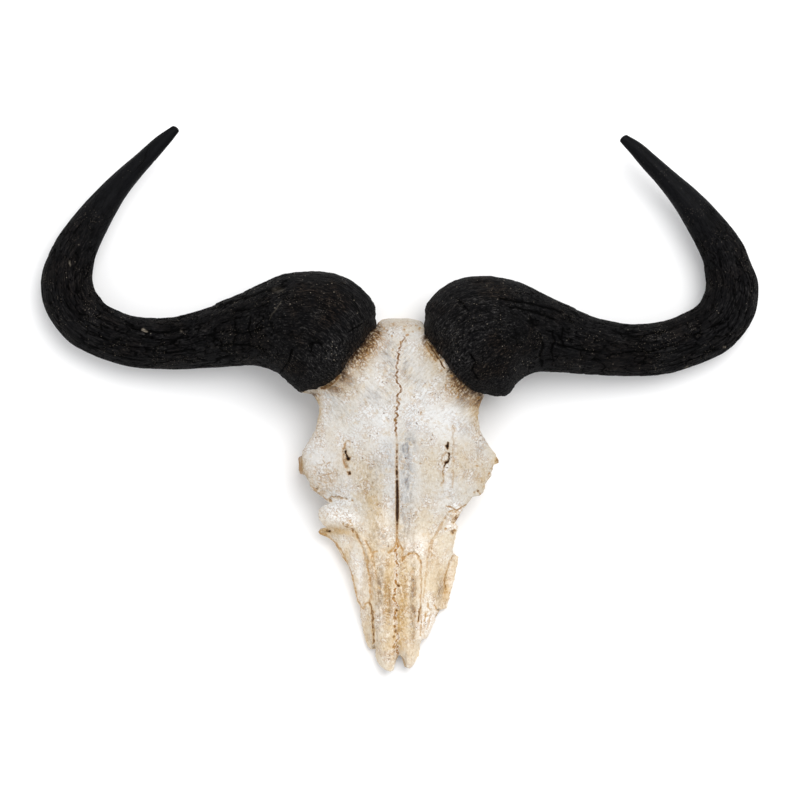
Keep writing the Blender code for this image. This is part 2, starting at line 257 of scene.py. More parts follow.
skullPlate = {
    "rows": 400,
    "faceColumns": 195,
    "wallColumns": 10,
    "hollowColumns": 18,
    "middleCrowding": 0.3,  # how much closer columns stand at the middle line than at the edges
    "wallCrowding": 1.25,  # how much closer they stand at the edge than at the sawn back
    "poll": 74,
    "nose": -246,
    "forkFrom": -216,  # where the two tips part
    "roundedEdge": (1.1, 0.9),  # how far the face drops at its edge, and how quickly
    "rim": 4,
    "footReach": 4,  # how far a foot may reach out past the edge
    # (y, value) from poll to nose, in millimetres: the dome's height on the middle line, its height at the
    # side, how far out that is, and how square the section is
    "crown": [
        (74, 16), (73, 30), (71, 43), (67, 54), (60, 63), (50, 70), (35, 75), (15, 78), (-5, 79), (-30, 77),
        (-60, 72), (-90, 65), (-120, 57), (-150, 48), (-180, 40), (-210, 31), (-235, 23), (-246, 18),
    ],
    "sideHeight": [
        (74, 12), (71, 28), (66, 38), (50, 50), (20, 58), (-10, 60), (-35, 57), (-52, 51), (-75, 50),
        (-88, 47), (-100, 41), (-114, 32), (-124, 22), (-138, 16), (-160, 11), (-200, 9), (-246, 11),
    ],
    "sideWidth": [
        (74, 40), (60, 58), (40, 72), (25, 79), (10, 80), (-14, 74), (-30, 78), (-45, 86), (-60, 86),
        (-75, 81), (-90, 73), (-105, 67), (-120, 60), (-135, 54), (-151, 48), (-187, 38), (-212, 29),
        (-232, 20), (-246, 15),
    ],
    "sideSlope": 0.3,
    "squareness": [(74, 2), (20, 2), (-60, 2.3), (-100, 2.8), (-130, 3.6), (-246, 4.2)],
    "collar": (15, 15, 44),  # the swelling round each horn: height, reach and half length
    # The outlines of the two sides, in pixels
    "leftOutline": [
        (388.6, 317.8), (381.9, 319.4), (378.1, 322.8), (376.4, 326.7), (370.8, 330.4), (360.8, 344.2),
        (350.3, 356.4), (343.6, 365.6), (338.6, 374), (329.2, 381.7), (310, 384.6), (297, 386.8), (297, 390),
        (304, 393), (312, 394.2), (315, 397), (317.5, 401), (320, 407), (319, 416), (316, 428.6),
        (311, 437.8), (305, 447), (302, 454.6), (302.6, 462), (303, 468.7), (305.5, 475), (309.4, 481.5),
        (311.6, 489), (318.8, 494), (327, 500.6), (329.4, 503), (323, 505.4), (319, 510), (318.3, 518),
        (323, 525.3), (327, 527.4), (319.2, 529.3), (318, 532), (319.5, 535), (327.8, 538.3), (334.2, 543.6),
        (342.2, 558), (348.6, 567.6), (353.3, 585), (356.5, 602.6), (359.7, 607.4), (360.8, 623.4),
        (363.6, 636), (366.2, 645), (368.4, 649.8), (371.2, 651.8), (374.9, 652.9), (375.3, 664),
        (376, 673.4),
    ],
    "rightOutline": [
        (407.5, 317.8), (415.3, 319.4), (420.8, 321.1), (423.1, 323.3), (425.6, 333.4), (432.5, 342.7),
        (446.2, 359.4), (450.8, 367.1), (465.3, 380.9), (477.5, 390.9), (484.2, 395.5), (481, 401),
        (479, 407), (477.5, 416), (479, 427), (483.6, 437.8), (489.7, 447), (495.8, 454.6), (498.9, 460.7),
        (498.4, 463), (493.6, 464.5), (492, 470), (490.5, 476.7), (485.7, 483), (483.3, 492.6),
        (479.3, 495.6), (472.5, 496.4), (460, 513.3), (458.6, 517.2), (456, 520.6), (454.8, 523),
        (458.2, 526), (457.4, 529.3), (455, 540), (453, 550), (453.8, 554.8), (459.4, 558), (455.4, 577),
        (450.6, 596), (446.8, 610.4), (440, 611.6), (439, 613.4), (436.4, 616), (435.4, 622), (431.6, 630),
        (430.6, 634.5), (426.4, 640.6), (421.4, 641.8), (420.2, 652), (419.2, 664), (418.6, 673.4),
    ],
    # Where the side walls meet the sawn back, as (y, distance from the middle line), and how high they end
    # there
    "leftFoot": [
        (74, 8), (69.5, 17.5), (59.9, 17.5), (18, 58.7), (2, 48), (-20, 43), (-43, 43), (-49, 80), (-52, 89),
        (-66, 88.5), (-69, 74), (-74, 42), (-82, 35), (-98, 36), (-106, 46), (-111, 63), (-122, 61),
        (-130, 51), (-151, 40), (-187, 31), (-212, 26), (-230, 18), (-246, 10),
    ],
    "rightFoot": [
        (74, 9), (70, 21), (58.4, 21), (16, 61.2), (0, 48), (-20, 43), (-43, 43), (-49, 74), (-53, 84),
        (-60, 84), (-66, 70), (-73, 42), (-82, 35), (-98, 36), (-104, 42), (-112, 48), (-130, 46), (-151, 50),
        (-176, 45), (-190, 36), (-212, 26), (-230, 17), (-246, 11),
    ],
    "leftFootHeight": [(74, 0), (-218, 0), (-226, 8), (-246, 8)],
    "rightFootHeight": [(74, 0), (-126, 0), (-140, 6), (-205, 6), (-218, 4), (-226, 8), (-246, 8)],
    # The hollow of the back
    "hollowHalfWidth": [
        (74, 5), (66, 9), (60, 12), (50, 20), (40, 30), (30, 37), (10, 41), (-20, 37), (-45, 35), (-60, 30),
        (-76, 28), (-100, 30), (-112, 41), (-130, 43), (-150, 36), (-187, 27), (-212, 21), (-230, 17),
        (-246, 14),
    ],
    "hollowHeight": [
        (74, 0), (66, 0), (60, 20), (52, 40), (40, 57), (20, 66), (-10, 69), (-34, 64), (-46, 52), (-52, 32),
        (-56, 0), (-70, 0), (-74, 32), (-80, 48), (-95, 54), (-120, 49), (-150, 41), (-180, 33), (-212, 25),
        (-235, 17), (-246, 12),
    ],
    "hollowSquareness": 5,
    # How far down the last rows reach across the two nasal tips, as (x, share)
    "tipFork": [
        (-24.5, 1), (-23, 0.98), (-21, 0.63), (-19.4, 0.6), (-18, 0.72), (-16.2, 0.81), (-14.4, 0.87),
        (-11.2, 0.94), (-6.8, 0.99), (-4.6, 0.96), (-3.3, 0.91), (-2, 0.71), (-1.2, 0.53), (0, 0.48),
        (4.5, 0.54), (7.2, 0.65), (8.4, 0.84), (9.6, 0.89), (10.8, 0.9), (13, 0.85), (15, 0.77), (16.7, 0.66),
        (18, 0.55),
    ],
}

# Marks of the bone's face, in pixels and millimetres
boneMarks = {
    # The seam down the middle line, its zigzag as (size, reach, seed) of noise, and the half width of its
    # open part as (y, millimetres)
    "seam": [
        (401, 318), (402, 333), (402.4, 339.8), (402.5, 344.4), (398.6, 349), (397.1, 352.8), (399.4, 358),
        (398.6, 362.8), (396.6, 368.9), (397.9, 373.5), (396.3, 379.6), (398.6, 384.7), (400.9, 391.8),
        (397.6, 396.4), (397.9, 404), (396.3, 411.7), (395.6, 422.5), (396.3, 434.7), (397.1, 445.4),
        (396.6, 460.7), (397, 480), (397.4, 500), (397.2, 520), (397, 537), (396.6, 560), (396.4, 578),
        (396.4, 593), (394.2, 596), (397, 606), (396.4, 612), (394.4, 618), (396.6, 624), (394.2, 631),
        (396.8, 636), (397.2, 642), (392.8, 648.5), (396, 651.6), (396.4, 658), (397, 675),
    ],
    "zigzag": [(2.8, 1.7, 15), (1.7, 1.2, 16)],
    "slotHalfWidth": [
        (-22, 0), (-30, 0.2), (-46, 0.45), (-60, 0.55), (-75, 0.8), (-86, 1.1), (-102, 1.05), (-110, 0.7),
        (-122, 0.35), (-130, 0),
    ],
    # How deep the slot is cut; its dark core is painted shade, not a gap cut through
    "slotDepth": 1.7,
    # The arched nasal bones: middle line, half width and upper end in millimetres, and how high they stand
    "nasalBones": [(-12, 11, -141), (10.5, 10.5, -138)],
    "nasalHeight": 2.4,
    # Carved lines: half width, depth (below 0 it stands up), how brown (below 0 it is white), and the line
    "lines": [
        (1.2, 2.2, 1, [(346, 449.8), (346.6, 454.4), (348.2, 458)]),
        (1.9, 1.2, 0.68, [(344.8, 449), (344.8, 459), (346.4, 466.4)]),
        (0.9, 0.5, 0.62, [(345.4, 448.6), (344.8, 444), (346.8, 441.4), (349.8, 441.4), (351, 443.8),
            (349.6, 446.6)]),
        (2.8, 0.9, -0.7, [(348, 476), (348, 490), (347.4, 497)]),
        (1, 2.2, 1, [(447.8, 442.6), (447.2, 448)]),
        (0.9, 0.6, 0.35, [(446, 451.6), (442.2, 455.4), (441, 459), (442.2, 463)]),
        (0.95, 1.8, 0.96, [(448, 452.6), (449, 456.5), (448.2, 460), (446, 462.4), (443.6, 465.4)]),
        (0.9, 1, 0.62, [(443, 466), (443, 473), (443, 480), (440.6, 484.8)]),
        (0.9, 0.6, 0.32, [(452.8, 425), (452.8, 445), (452.8, 468), (451.8, 487)]),
        (3, 1, -0.6, [(447.2, 466), (447.8, 480), (448.8, 497)]),
        (0.9, 1, 0.66, [(329.5, 499.6), (332.5, 495.6), (336, 497.6), (339.5, 495.8), (342, 497.8),
            (346.7, 498)]),
        (0.8, 0.6, 0.5, [(312, 487), (318, 491.5), (323.5, 496), (328.5, 501)]),
        (0.7, 0.4, 0.45, [(324, 456), (325.6, 464), (329.6, 473), (330.6, 482)]),
        (0.7, 0.4, 0.4, [(330, 462), (325.6, 464), (316, 466)]),
        (0.7, 0.3, 0.35, [(318, 477), (329.6, 473), (338, 470)]),
        (4.2, 2.4, 0.15, [(325, 531.5), (332, 529), (341, 528.6), (350, 530.5)]),
        (0.9, 0.8, 0.8, [(343, 525.6), (348.6, 527.4), (354, 529.6)]),
        (1.3, 1.2, 0.66, [(353.1, 529.6), (355.5, 532), (358.9, 538.6)]),
        (1.3, 1, 0.47, [(358.9, 538.6), (363.4, 549.2), (367.3, 561.6), (369.6, 575.5), (370.4, 590),
            (369.8, 601)]),
        (1, 0.7, 0.4, [(366, 541), (371.4, 551), (374.4, 563), (376.5, 578)]),
        (0.9, 0.7, 0.55, [(325.5, 535), (333.5, 541.5), (341.6, 552), (346.5, 564), (351.3, 574),
            (354.6, 588), (357, 600)]),
        (2.6, -1.3, -0.1, [(329, 539), (336, 549), (344, 563), (349.5, 577), (352, 590)]),
        # Whitens the left maxilla's trough: partly the bone's own white, partly a painted highlight
        (9, 2.2, -0.6, [(350, 545), (357, 560), (361, 576), (362.5, 600)]),
        (3.2, -1.2, 0.1, [(362, 538), (368.5, 556), (374, 574), (376, 600)]),
        (1.15, 0.9, 0.78, [(369.6, 602.4), (371.4, 607), (372.6, 616), (373.1, 628)]),
        (1.05, 0.9, 0.82, [(373.1, 628), (373.8, 640), (373.5, 646)]),
        (0.8, 0.8, 0.5, [(357.5, 602), (361.2, 606), (363.5, 609.5), (366.4, 603), (369.1, 602.4)]),
        (0.8, 0.7, 0.6, [(371, 558), (371.8, 554), (374, 551.8), (377.6, 551)]),
        (0.7, 0.5, 0.35, [(371.6, 560), (372.6, 575), (372.6, 600)]),
        (0.9, 0.7, 0.36, [(447.4, 514.5), (442, 521.9), (438.8, 530), (434.5, 536), (430.7, 541.7),
            (428.6, 553)]),
        (0.8, 0.5, 0.3, [(428.6, 553), (427.6, 562), (425.8, 576), (424.6, 588), (423.4, 603)]),
        (0.7, 0.4, 0.35, [(440, 524), (436, 533), (432, 543), (431.6, 556)]),
        (2, 1.6, 0.8, [(452.8, 520.4), (455.6, 517.8), (458.4, 515.2)]),
        (0.8, 0.8, 0.7, [(446, 505.6), (451, 506.8), (456, 509.6), (461, 507), (466, 504.3)]),
        (0.7, 0.6, 0.55, [(449, 511.5), (453, 510.6), (457, 513)]),
        (0.9, 1.2, 0.7, [(453.6, 556), (450.6, 560), (449, 564), (447.2, 571), (445.4, 576), (445, 584),
            (445.6, 590)]),
        (4, -1.2, 0.1, [(456, 562), (452.4, 575), (449.5, 590), (446, 606)]),
        (1, 1.3, 0.6, [(402.4, 560.4), (404.8, 556.6), (409.7, 553.4), (415, 553), (418.8, 556),
            (420.6, 562)]),
        (0.9, 0.9, 0.36, [(420.6, 562), (421.3, 575), (421, 592), (420, 607)]),
        (0.9, 1.2, 0.8, [(420, 606.6), (418.9, 615.6), (418.2, 622)]),
        (0.9, 0.7, 0.6, [(397.4, 538), (400.5, 545), (402.4, 550), (402.6, 558)]),
        (0.8, 0.5, 0.5, [(396.8, 538), (395.4, 545), (391.6, 550.4), (389, 551.8)]),
        (0.9, 1, 0.6, [(427.6, 604.6), (428.6, 608), (431, 611)]),
        (0.8, 0.8, 0.5, [(427, 612), (425.6, 617), (424.4, 622)]),
        (0.8, 0.9, 0.6, [(434.6, 606), (436.6, 610), (439.4, 612)]),
        (0.8, 0.6, 0.35, [(431.4, 614), (429.8, 621), (427, 630)]),
        (0.8, 0.6, 0.3, [(424.2, 625), (423.6, 633), (424.4, 638)]),
        (0.8, 0.6, 0.4, [(421, 610), (421.4, 622), (420.6, 636)]),
        (0.9, 0.6, 0.6, [(444, 594.6), (447, 593.4), (451, 594.6)]),
        (1.2, 1, 0.5, [(318.6, 531.6), (321.6, 534.4), (326.4, 537), (332, 540)]),
        (1.2, -1, -1, [(428.4, 340.6), (435.2, 348.8), (441.4, 357.6), (447.4, 367.4)]),
        (1, 0.9, 0.92, [(427.2, 342.4), (432.6, 350.8), (438.4, 359.6), (444.2, 368.8)]),
        (0.8, 0.6, 0.7, [(425.6, 346.4), (430.2, 354), (435.2, 361.4)]),
        (1.7, 0.4, 0.84, [(339.4, 377.6), (331.4, 384.6), (323, 388.6)]),
    ],
    # Holes: place in pixels, radius, depth and how brown
    "holes": [
        (348.5, 457.8, 1.8, 2.6, 1), (346.2, 451.6, 1, 2, 1), (447.2, 446, 1.4, 2, 1),
        (445.8, 461.6, 1.7, 2, 1), (447.6, 459.6, 1.2, 1.4, 0.9), (349.6, 472.4, 1.5, 1.6, 0.98),
        (348.2, 471.8, 0.9, 1.2, 0.7), (317.2, 488.2, 1.2, 2, 0.85), (330.2, 499.6, 1.7, 1.4, 0.66),
        (335.6, 495.4, 1, 1.6, 0.96), (346.6, 498.2, 1, 1.2, 0.7), (353, 499.6, 1, 1.2, 0.6),
        (326.6, 531, 1.4, 3, 1), (328.8, 531.4, 1.5, 3.5, 1), (353.2, 530.4, 1.3, 1.4, 0.75),
        (348.2, 524.8, 1, 1.2, 0.5), (343.2, 523.4, 1, 1.2, 0.55), (352.2, 524.6, 1, 1, 0.5),
        (452.6, 532, 1.6, 2.4, 0.86), (454.4, 530.6, 1.2, 1.6, 0.7), (444.8, 528.6, 1, 1.4, 0.6),
        (497, 461.4, 1.9, 0.6, 0.8), (478, 465.4, 0.9, 1, 0.5), (488.8, 473, 0.9, 0.9, 0.5),
        (481.4, 481.8, 1.1, 1, 0.8), (479.6, 493.4, 1, 1, 0.65), (484, 486.4, 0.9, 0.9, 0.5),
        (478, 491, 1.1, 1.4, 0.8), (474.4, 491.4, 0.9, 1.2, 0.7), (371.6, 561.8, 0.9, 1, 0.6),
        (372.6, 575.6, 0.9, 0.9, 0.45), (379, 588, 1.1, 0.9, 0.5), (398.4, 585.2, 1.2, 1.2, 0.8),
        (394.2, 594.6, 1.2, 1.2, 0.8), (394.2, 599.2, 1.2, 1, 0.7), (396.8, 610, 1.3, 1.2, 0.8),
        (395, 619, 1.2, 1, 0.7), (394.6, 627, 1.2, 1, 0.75), (395, 632.4, 1.3, 1.2, 0.8),
        (394, 637.6, 1.2, 1, 0.8), (395.6, 650.6, 1.2, 1, 0.7), (392.8, 647.6, 1.1, 1, 0.7),
        (400.4, 342, 1, 1, 0.7), (405.4, 341, 1, 1, 0.8), (392.8, 349.6, 1, 0.8, 0.55),
        (404, 331, 1.2, 1, 0.5), (384.8, 328.8, 1, 0.5, 0.5), (392, 336, 0.9, 0.5, 0.5),
        (407.4, 335.4, 1, 0.6, 0.6), (416, 325.4, 1, 0.5, 0.45), (381, 333, 0.9, 0.4, 0.45),
        (419.6, 329.4, 1.1, 0.5, 0.5), (412.6, 331.4, 0.8, 0.4, 0.45), (398.4, 344.6, 0.9, 0.5, 0.5),
        (397.4, 402.6, 1, 0.9, 0.7), (396, 413, 1, 0.9, 0.7), (395.6, 419.4, 1, 0.9, 0.7),
        (394.4, 407, 0.9, 0.6, 0.6), (399.4, 399.6, 0.9, 0.6, 0.6), (457, 397.6, 1, 0.8, 0.5),
        (445.4, 386, 1.1, 0.9, 0.5), (440.6, 370.6, 1, 0.9, 0.5), (450.6, 376.4, 1, 0.9, 0.6),
        (478.6, 397.8, 1.1, 1.2, 0.8), (421, 413, 1.1, 0.7, 0.5), (420.4, 463, 0.9, 0.8, 0.45),
        (476.6, 465.6, 0.9, 0.9, 0.5), (404.6, 326.5, 1.4, 0.6, 0.35), (393, 325.5, 1.2, 0.6, 0.35),
        (432, 394, 1, 0.6, 0.45),
    ],
    # Soft patches of colour: place in pixels, reach across and down, turn in degrees, and strength
    "tan": [
        (299, 389, 7, 4, 0, 1), (312, 468, 12, 14, 0, 0.15), (324, 482, 18, 11, 20, 0.35),
        (300, 463, 3.4, 15, 0, 1), (305, 482, 6, 8, 0, 0.7), (338, 531, 17, 4.5, 0, 0.8),
        (335, 518, 15, 9, 0, 0.2), (321, 533, 6, 5, 0, 0.9), (350, 462, 6, 14, 0, 0.45),
        (368, 476, 14, 22, 0, 0.6), (371, 504, 14, 22, 10, 0.42), (345, 557, 4, 24, -26, 0.6),
        (368, 570, 5, 34, -8, 0.5), (387.2, 592, 4, 30, -2, 1), (388, 605, 3, 16, 0, 0.6),
        (404.6, 598, 4.5, 36, 0, 1), (388, 652, 13, 14, 0, 0.55), (409, 655, 9, 14, 0, 0.35),
        (455, 585, 5, 26, 10, 0.15), (366, 632, 7, 24, -6, 0.4), (497, 462, 5, 5, 0, 1),
        (484, 484, 8, 12, 20, 0.35), (468, 464, 22, 24, 0, 0.55), (362, 358, 12, 18, -40, 0.5),
        (345, 388, 20, 12, -25, 0.4), (430, 480, 14, 40, 0, 0.25), (455, 388, 20, 12, 35, 0.6),
        (318, 408, 5, 22, 0, 0.7), (476, 412, 7, 22, 0, 0.8), (470, 404, 9, 16, -20, 0.5),
        (398, 324, 22, 6, 0, 0.5), (372, 322, 8, 12, 0, 0.5), (378, 515, 12, 20, 0, 0.45),
        (420, 512, 16, 22, 0, 0.3), (396, 560, 10, 16, 0, 0.5), (380, 606, 8, 40, 0, 0.2),
        (446, 588, 3, 14, 8, 0.4), (398, 622, 5, 40, 0, 0.8), (436, 572, 10, 34, 10, 0.5),
        (385, 376, 30, 34, 0, 0.18), (388, 346, 14, 14, 0, 0.15), (452, 520, 12, 12, 0, 0.3),
        (328, 440, 12, 20, 0, 0.35), (356, 600, 8, 20, -8, 0.25), (440, 600, 6, 14, 0, 0.4),
        (413.5, 600, 3.4, 46, 0, 0.8), (428, 450, 10, 20, 0, 0.2), (432, 350, 8, 16, -35, 0.6),
        (338, 462, 6, 16, 0, 0.35), (440, 365, 8, 14, -35, 0.4), (376, 568, 4, 22, 0, 0.35),
        (368, 440, 8, 18, 0, 0.2),
    ],
    # The grey patches at (333, 391), (346, 379) and (468, 396) are painted shade under the horns' bosses, and
    # the one at (396.6, 584) is painted shade for shaded floor seen through a gap in the nasal seam; the
    # others are grey tones of the bone.
    "grey": [
        (484, 442, 4, 14, -35, 0.6), (404, 452, 7, 18, 0, 0.85), (411, 440, 6, 14, 0, 0.5),
        (424, 436, 12, 12, 0, 0.2), (470, 408, 8, 16, 0, 0.4), (408, 482, 6, 18, 0, 0.8),
        (391, 362, 7, 22, 0, 0.55), (406, 366, 6, 14, 0, 0.65), (386, 354, 9, 13, 0, 0.45),
        (374, 392, 14, 8, -10, 0.3), (418, 380, 9, 16, 0, 0.35), (388, 455, 6, 16, 0, 0.5),
        (374, 470, 8, 16, 0, 0.5), (333, 391, 10, 7, -35, 1), (346, 379, 9, 5, -40, 0.9),
        (468, 396, 12, 7, 35, 1), (380, 538, 10, 14, 0, 0.5), (406, 530, 8, 22, 0, 0.45),
        (413, 600, 3.6, 44, 0, 1), (441.4, 590, 3, 13, 8, 0.6), (380, 600, 5, 34, 0, 0.6),
        (377.5, 632, 5, 26, 0, 0.28), (396.6, 584, 1.8, 9, 0, 1), (379, 580, 6, 22, 0, 0.5),
        (438.4, 592, 3, 13, 0, 0.7), (366, 560, 4, 28, -12, 0.35), (350, 560, 6, 18, -24, 0.25),
        (462, 430, 12, 10, 0, 0.35), (372, 648, 4, 12, 0, 0.35), (390, 600, 3, 30, 0, 0.5),
        (400, 510, 8, 30, 0, 0.35), (378, 400, 16, 8, 0, 0.3), (410, 420, 6, 14, 0, 0.3),
        (430, 400, 14, 10, 30, 0.1), (340, 410, 14, 10, 0, 0.3),
    ],
    # The pale band at (360, 578) down the left maxilla's trough is partly the bone's own white and partly a
    # painted highlight
    "pale": [
        (334, 514, 14, 10, 0, 1), (360, 578, 4.5, 30, -6, 1), (352, 520, 8, 8, 0, 0.7),
        (349, 488, 4, 14, 0, 0.8), (448, 480, 4, 16, 0, 0.7), (430, 623, 10, 18, -20, 1),
        (380, 420, 14, 26, 0, 0.6), (412, 405, 14, 20, 0, 0.5), (384, 514, 8, 22, 0, 0.5),
        (345, 620, 8, 10, 0, 0.5), (458, 512, 7, 8, 0, 0.9), (452, 526, 6, 6, 0, 0.8),
        (452, 424, 16, 20, 0, 0.6), (438, 500, 12, 12, 0, 0.3), (322, 466, 16, 22, 0, 0.9),
        (322, 448, 14, 14, 0, 0.5), (326, 420, 8, 14, 0, 0.45), (412, 350, 10, 14, 0, 0.25),
        (446, 410, 16, 20, 0, 0.5), (378, 350, 9, 9, 0, 0.4), (420, 545, 9, 12, 0, 0.6),
        (340, 440, 5, 18, 0, 0.4), (380, 620, 5, 20, 0, 0.5), (410, 545, 6, 9, 0, 0.5),
        (374, 385, 12, 14, 0, 0.5), (420, 500, 8, 20, 0, 0.2), (424, 418, 14, 22, 0, 0.4),
        (452, 582, 3, 20, 8, 0.7), (395, 340, 7, 10, 0, 0.2), (386, 658, 9, 12, 0, 0.45),
        (411, 655, 8, 12, 0, 0.25), (361, 622, 4, 20, -6, 0.7), (430, 430, 12, 14, 0, 0.4),
    ],
    # Patches of the same form: the burrs by the horns, the stained wall of the left eye socket, flaking bone,
    # and the brows with their worm-like channels
    "burr": [
        (375, 333, 8, 9, 0, 1), (367, 346, 9, 10, 0, 1), (355, 359, 10, 9, 0, 0.9),
        (343, 375, 10, 8, -35, 0.75), (332, 387, 12, 4, -30, 0.8), (314, 396, 7, 6, 0, 0.5),
        (430, 342, 8, 9, 0, 1), (438, 353, 7, 8, 0, 0.7), (450, 373, 6, 7, 0, 0.6), (464, 390, 10, 9, 30, 1),
        (456, 382, 8, 5, 42, 0.7), (478, 401, 6, 8, 0, 0.9),
    ],
    "socket": [(300, 466, 8, 13, 0, 1)],
    "rough": [
        (334, 514, 15, 10, 0, 1), (352, 522, 10, 8, 0, 0.8), (457, 512, 9, 9, 0, 1),
        (430, 622, 10, 18, -20, 0.9), (305, 470, 5, 18, 0, 0.9), (320, 490, 14, 8, 20, 0.9),
        (490, 476, 6, 14, 15, 0.9), (452, 580, 5, 26, 8, 0.5), (398, 630, 5, 30, 0, 0.6),
        (366, 344, 10, 16, -40, 0.6), (455, 380, 20, 10, 35, 0.4), (366, 545, 5, 14, -20, 0.5),
    ],
    "brow": [(316, 476, 17, 20, 20, 1), (334, 488, 16, 10, 0, 0.9), (484, 480, 12, 20, 10, 0.8)],
}


def seatPlace(side, x, y):
    # A point in its seat's own directions: how far towards the poll along the seat, and how far out of it.
    seat = seats[side]
    dx, dy = x - seat["point"][0], y - seat["point"][1]
    outX, outY = seat["outward"]
    towardsPoll = np.sign(outX)
    return (-dx * outY * towardsPoll + dy * abs(outX)), dx * outX + dy * outY


def seatBorder(side, along):
    # How far out of the seat the horn's real border lies, read along the seat.
    border = onObject(seats[side]["border"])
    places = np.column_stack(seatPlace(side, border[:, 0], border[:, 1]))
    return brokenLine(places, along)


def domeHeight(x, y):
    # Height of the plain face: it falls from the crown to the flank by the share of the way out to a power,
    # falls on gently beyond, and rises like a bell curve to each horn.
    crown, flank, width, power = (
        smoothCurve(skullPlate[key], y) for key in ("crown", "sideHeight", "sideWidth", "squareness")
    )
    out = np.abs(x)
    height = flank + (crown - flank) * (1 - np.minimum(out / width, 1) ** power)
    height -= skullPlate["sideSlope"] * np.maximum(out - width, 0)
    rising, reach, halfLength = skullPlate["collar"]
    for side in seats:
        along, outward = seatPlace(side, x, y)
        bell = np.exp(-((np.maximum(-outward, 0) / reach) ** 2))
        height += rising * bell * np.clip(1 - (along / halfLength) ** 2, 0, 1)
    return height


def patches(blobs, x, y):
    # The sum of soft ellipses, each exp(-(a^2 + b^2)) in its own turned directions.
    total = np.zeros(x.shape)
    for pixelX, pixelY, reachX, reachY, turn, strength in blobs:
        centreX, centreY = onObject([(pixelX, pixelY)])[0]
        cos, sin = math.cos(math.radians(turn)), math.sin(math.radians(turn))
        dx, dy = x - centreX, y - centreY
        across = (dx * cos + dy * sin) / (reachX * photo["pixel"])
        down = (dy * cos - dx * sin) / (reachY * photo["pixel"])
        total += strength * np.exp(-(across**2) - down**2)
    return np.clip(total, 0, 1)


def seamOffset(x, y):
    # How far to the right of the middle seam a point is; the seam's x is read from its broken line by y, with
    # two sizes of noise to make it zigzag.
    seam = onObject(boneMarks["seam"])
    jag = sum(reach * flatLumps(0, y, 9, size, seed) for size, reach, seed in boneMarks["zigzag"])
    return x - brokenLine(seam[:, ::-1], y) - jag * (rise(y, -34, -20) + 0.8 * rise(-y, 118, 130))


def burrRibs(x, y):
    # Noise stretched across each horn's border, and the place that it is read at: how far along the border,
    # how far in from it, and a number that tells the sides apart.
    ribs, place = np.zeros(x.shape), np.zeros(x.shape + (3,))
    for side, sign in (("left", -1), ("right", 1)):
        here = np.sign(x) == sign
        along, outward = seatPlace(side, x, y)
        inward = seatBorder(side, along) - outward
        ribs = np.where(here, flatLumps(along, inward, 1.9, 6, 31), ribs)
        place = np.where(here[..., None], np.stack([along, inward, 0 * x + 40 * sign], axis=-1), place)
    return ribs, place


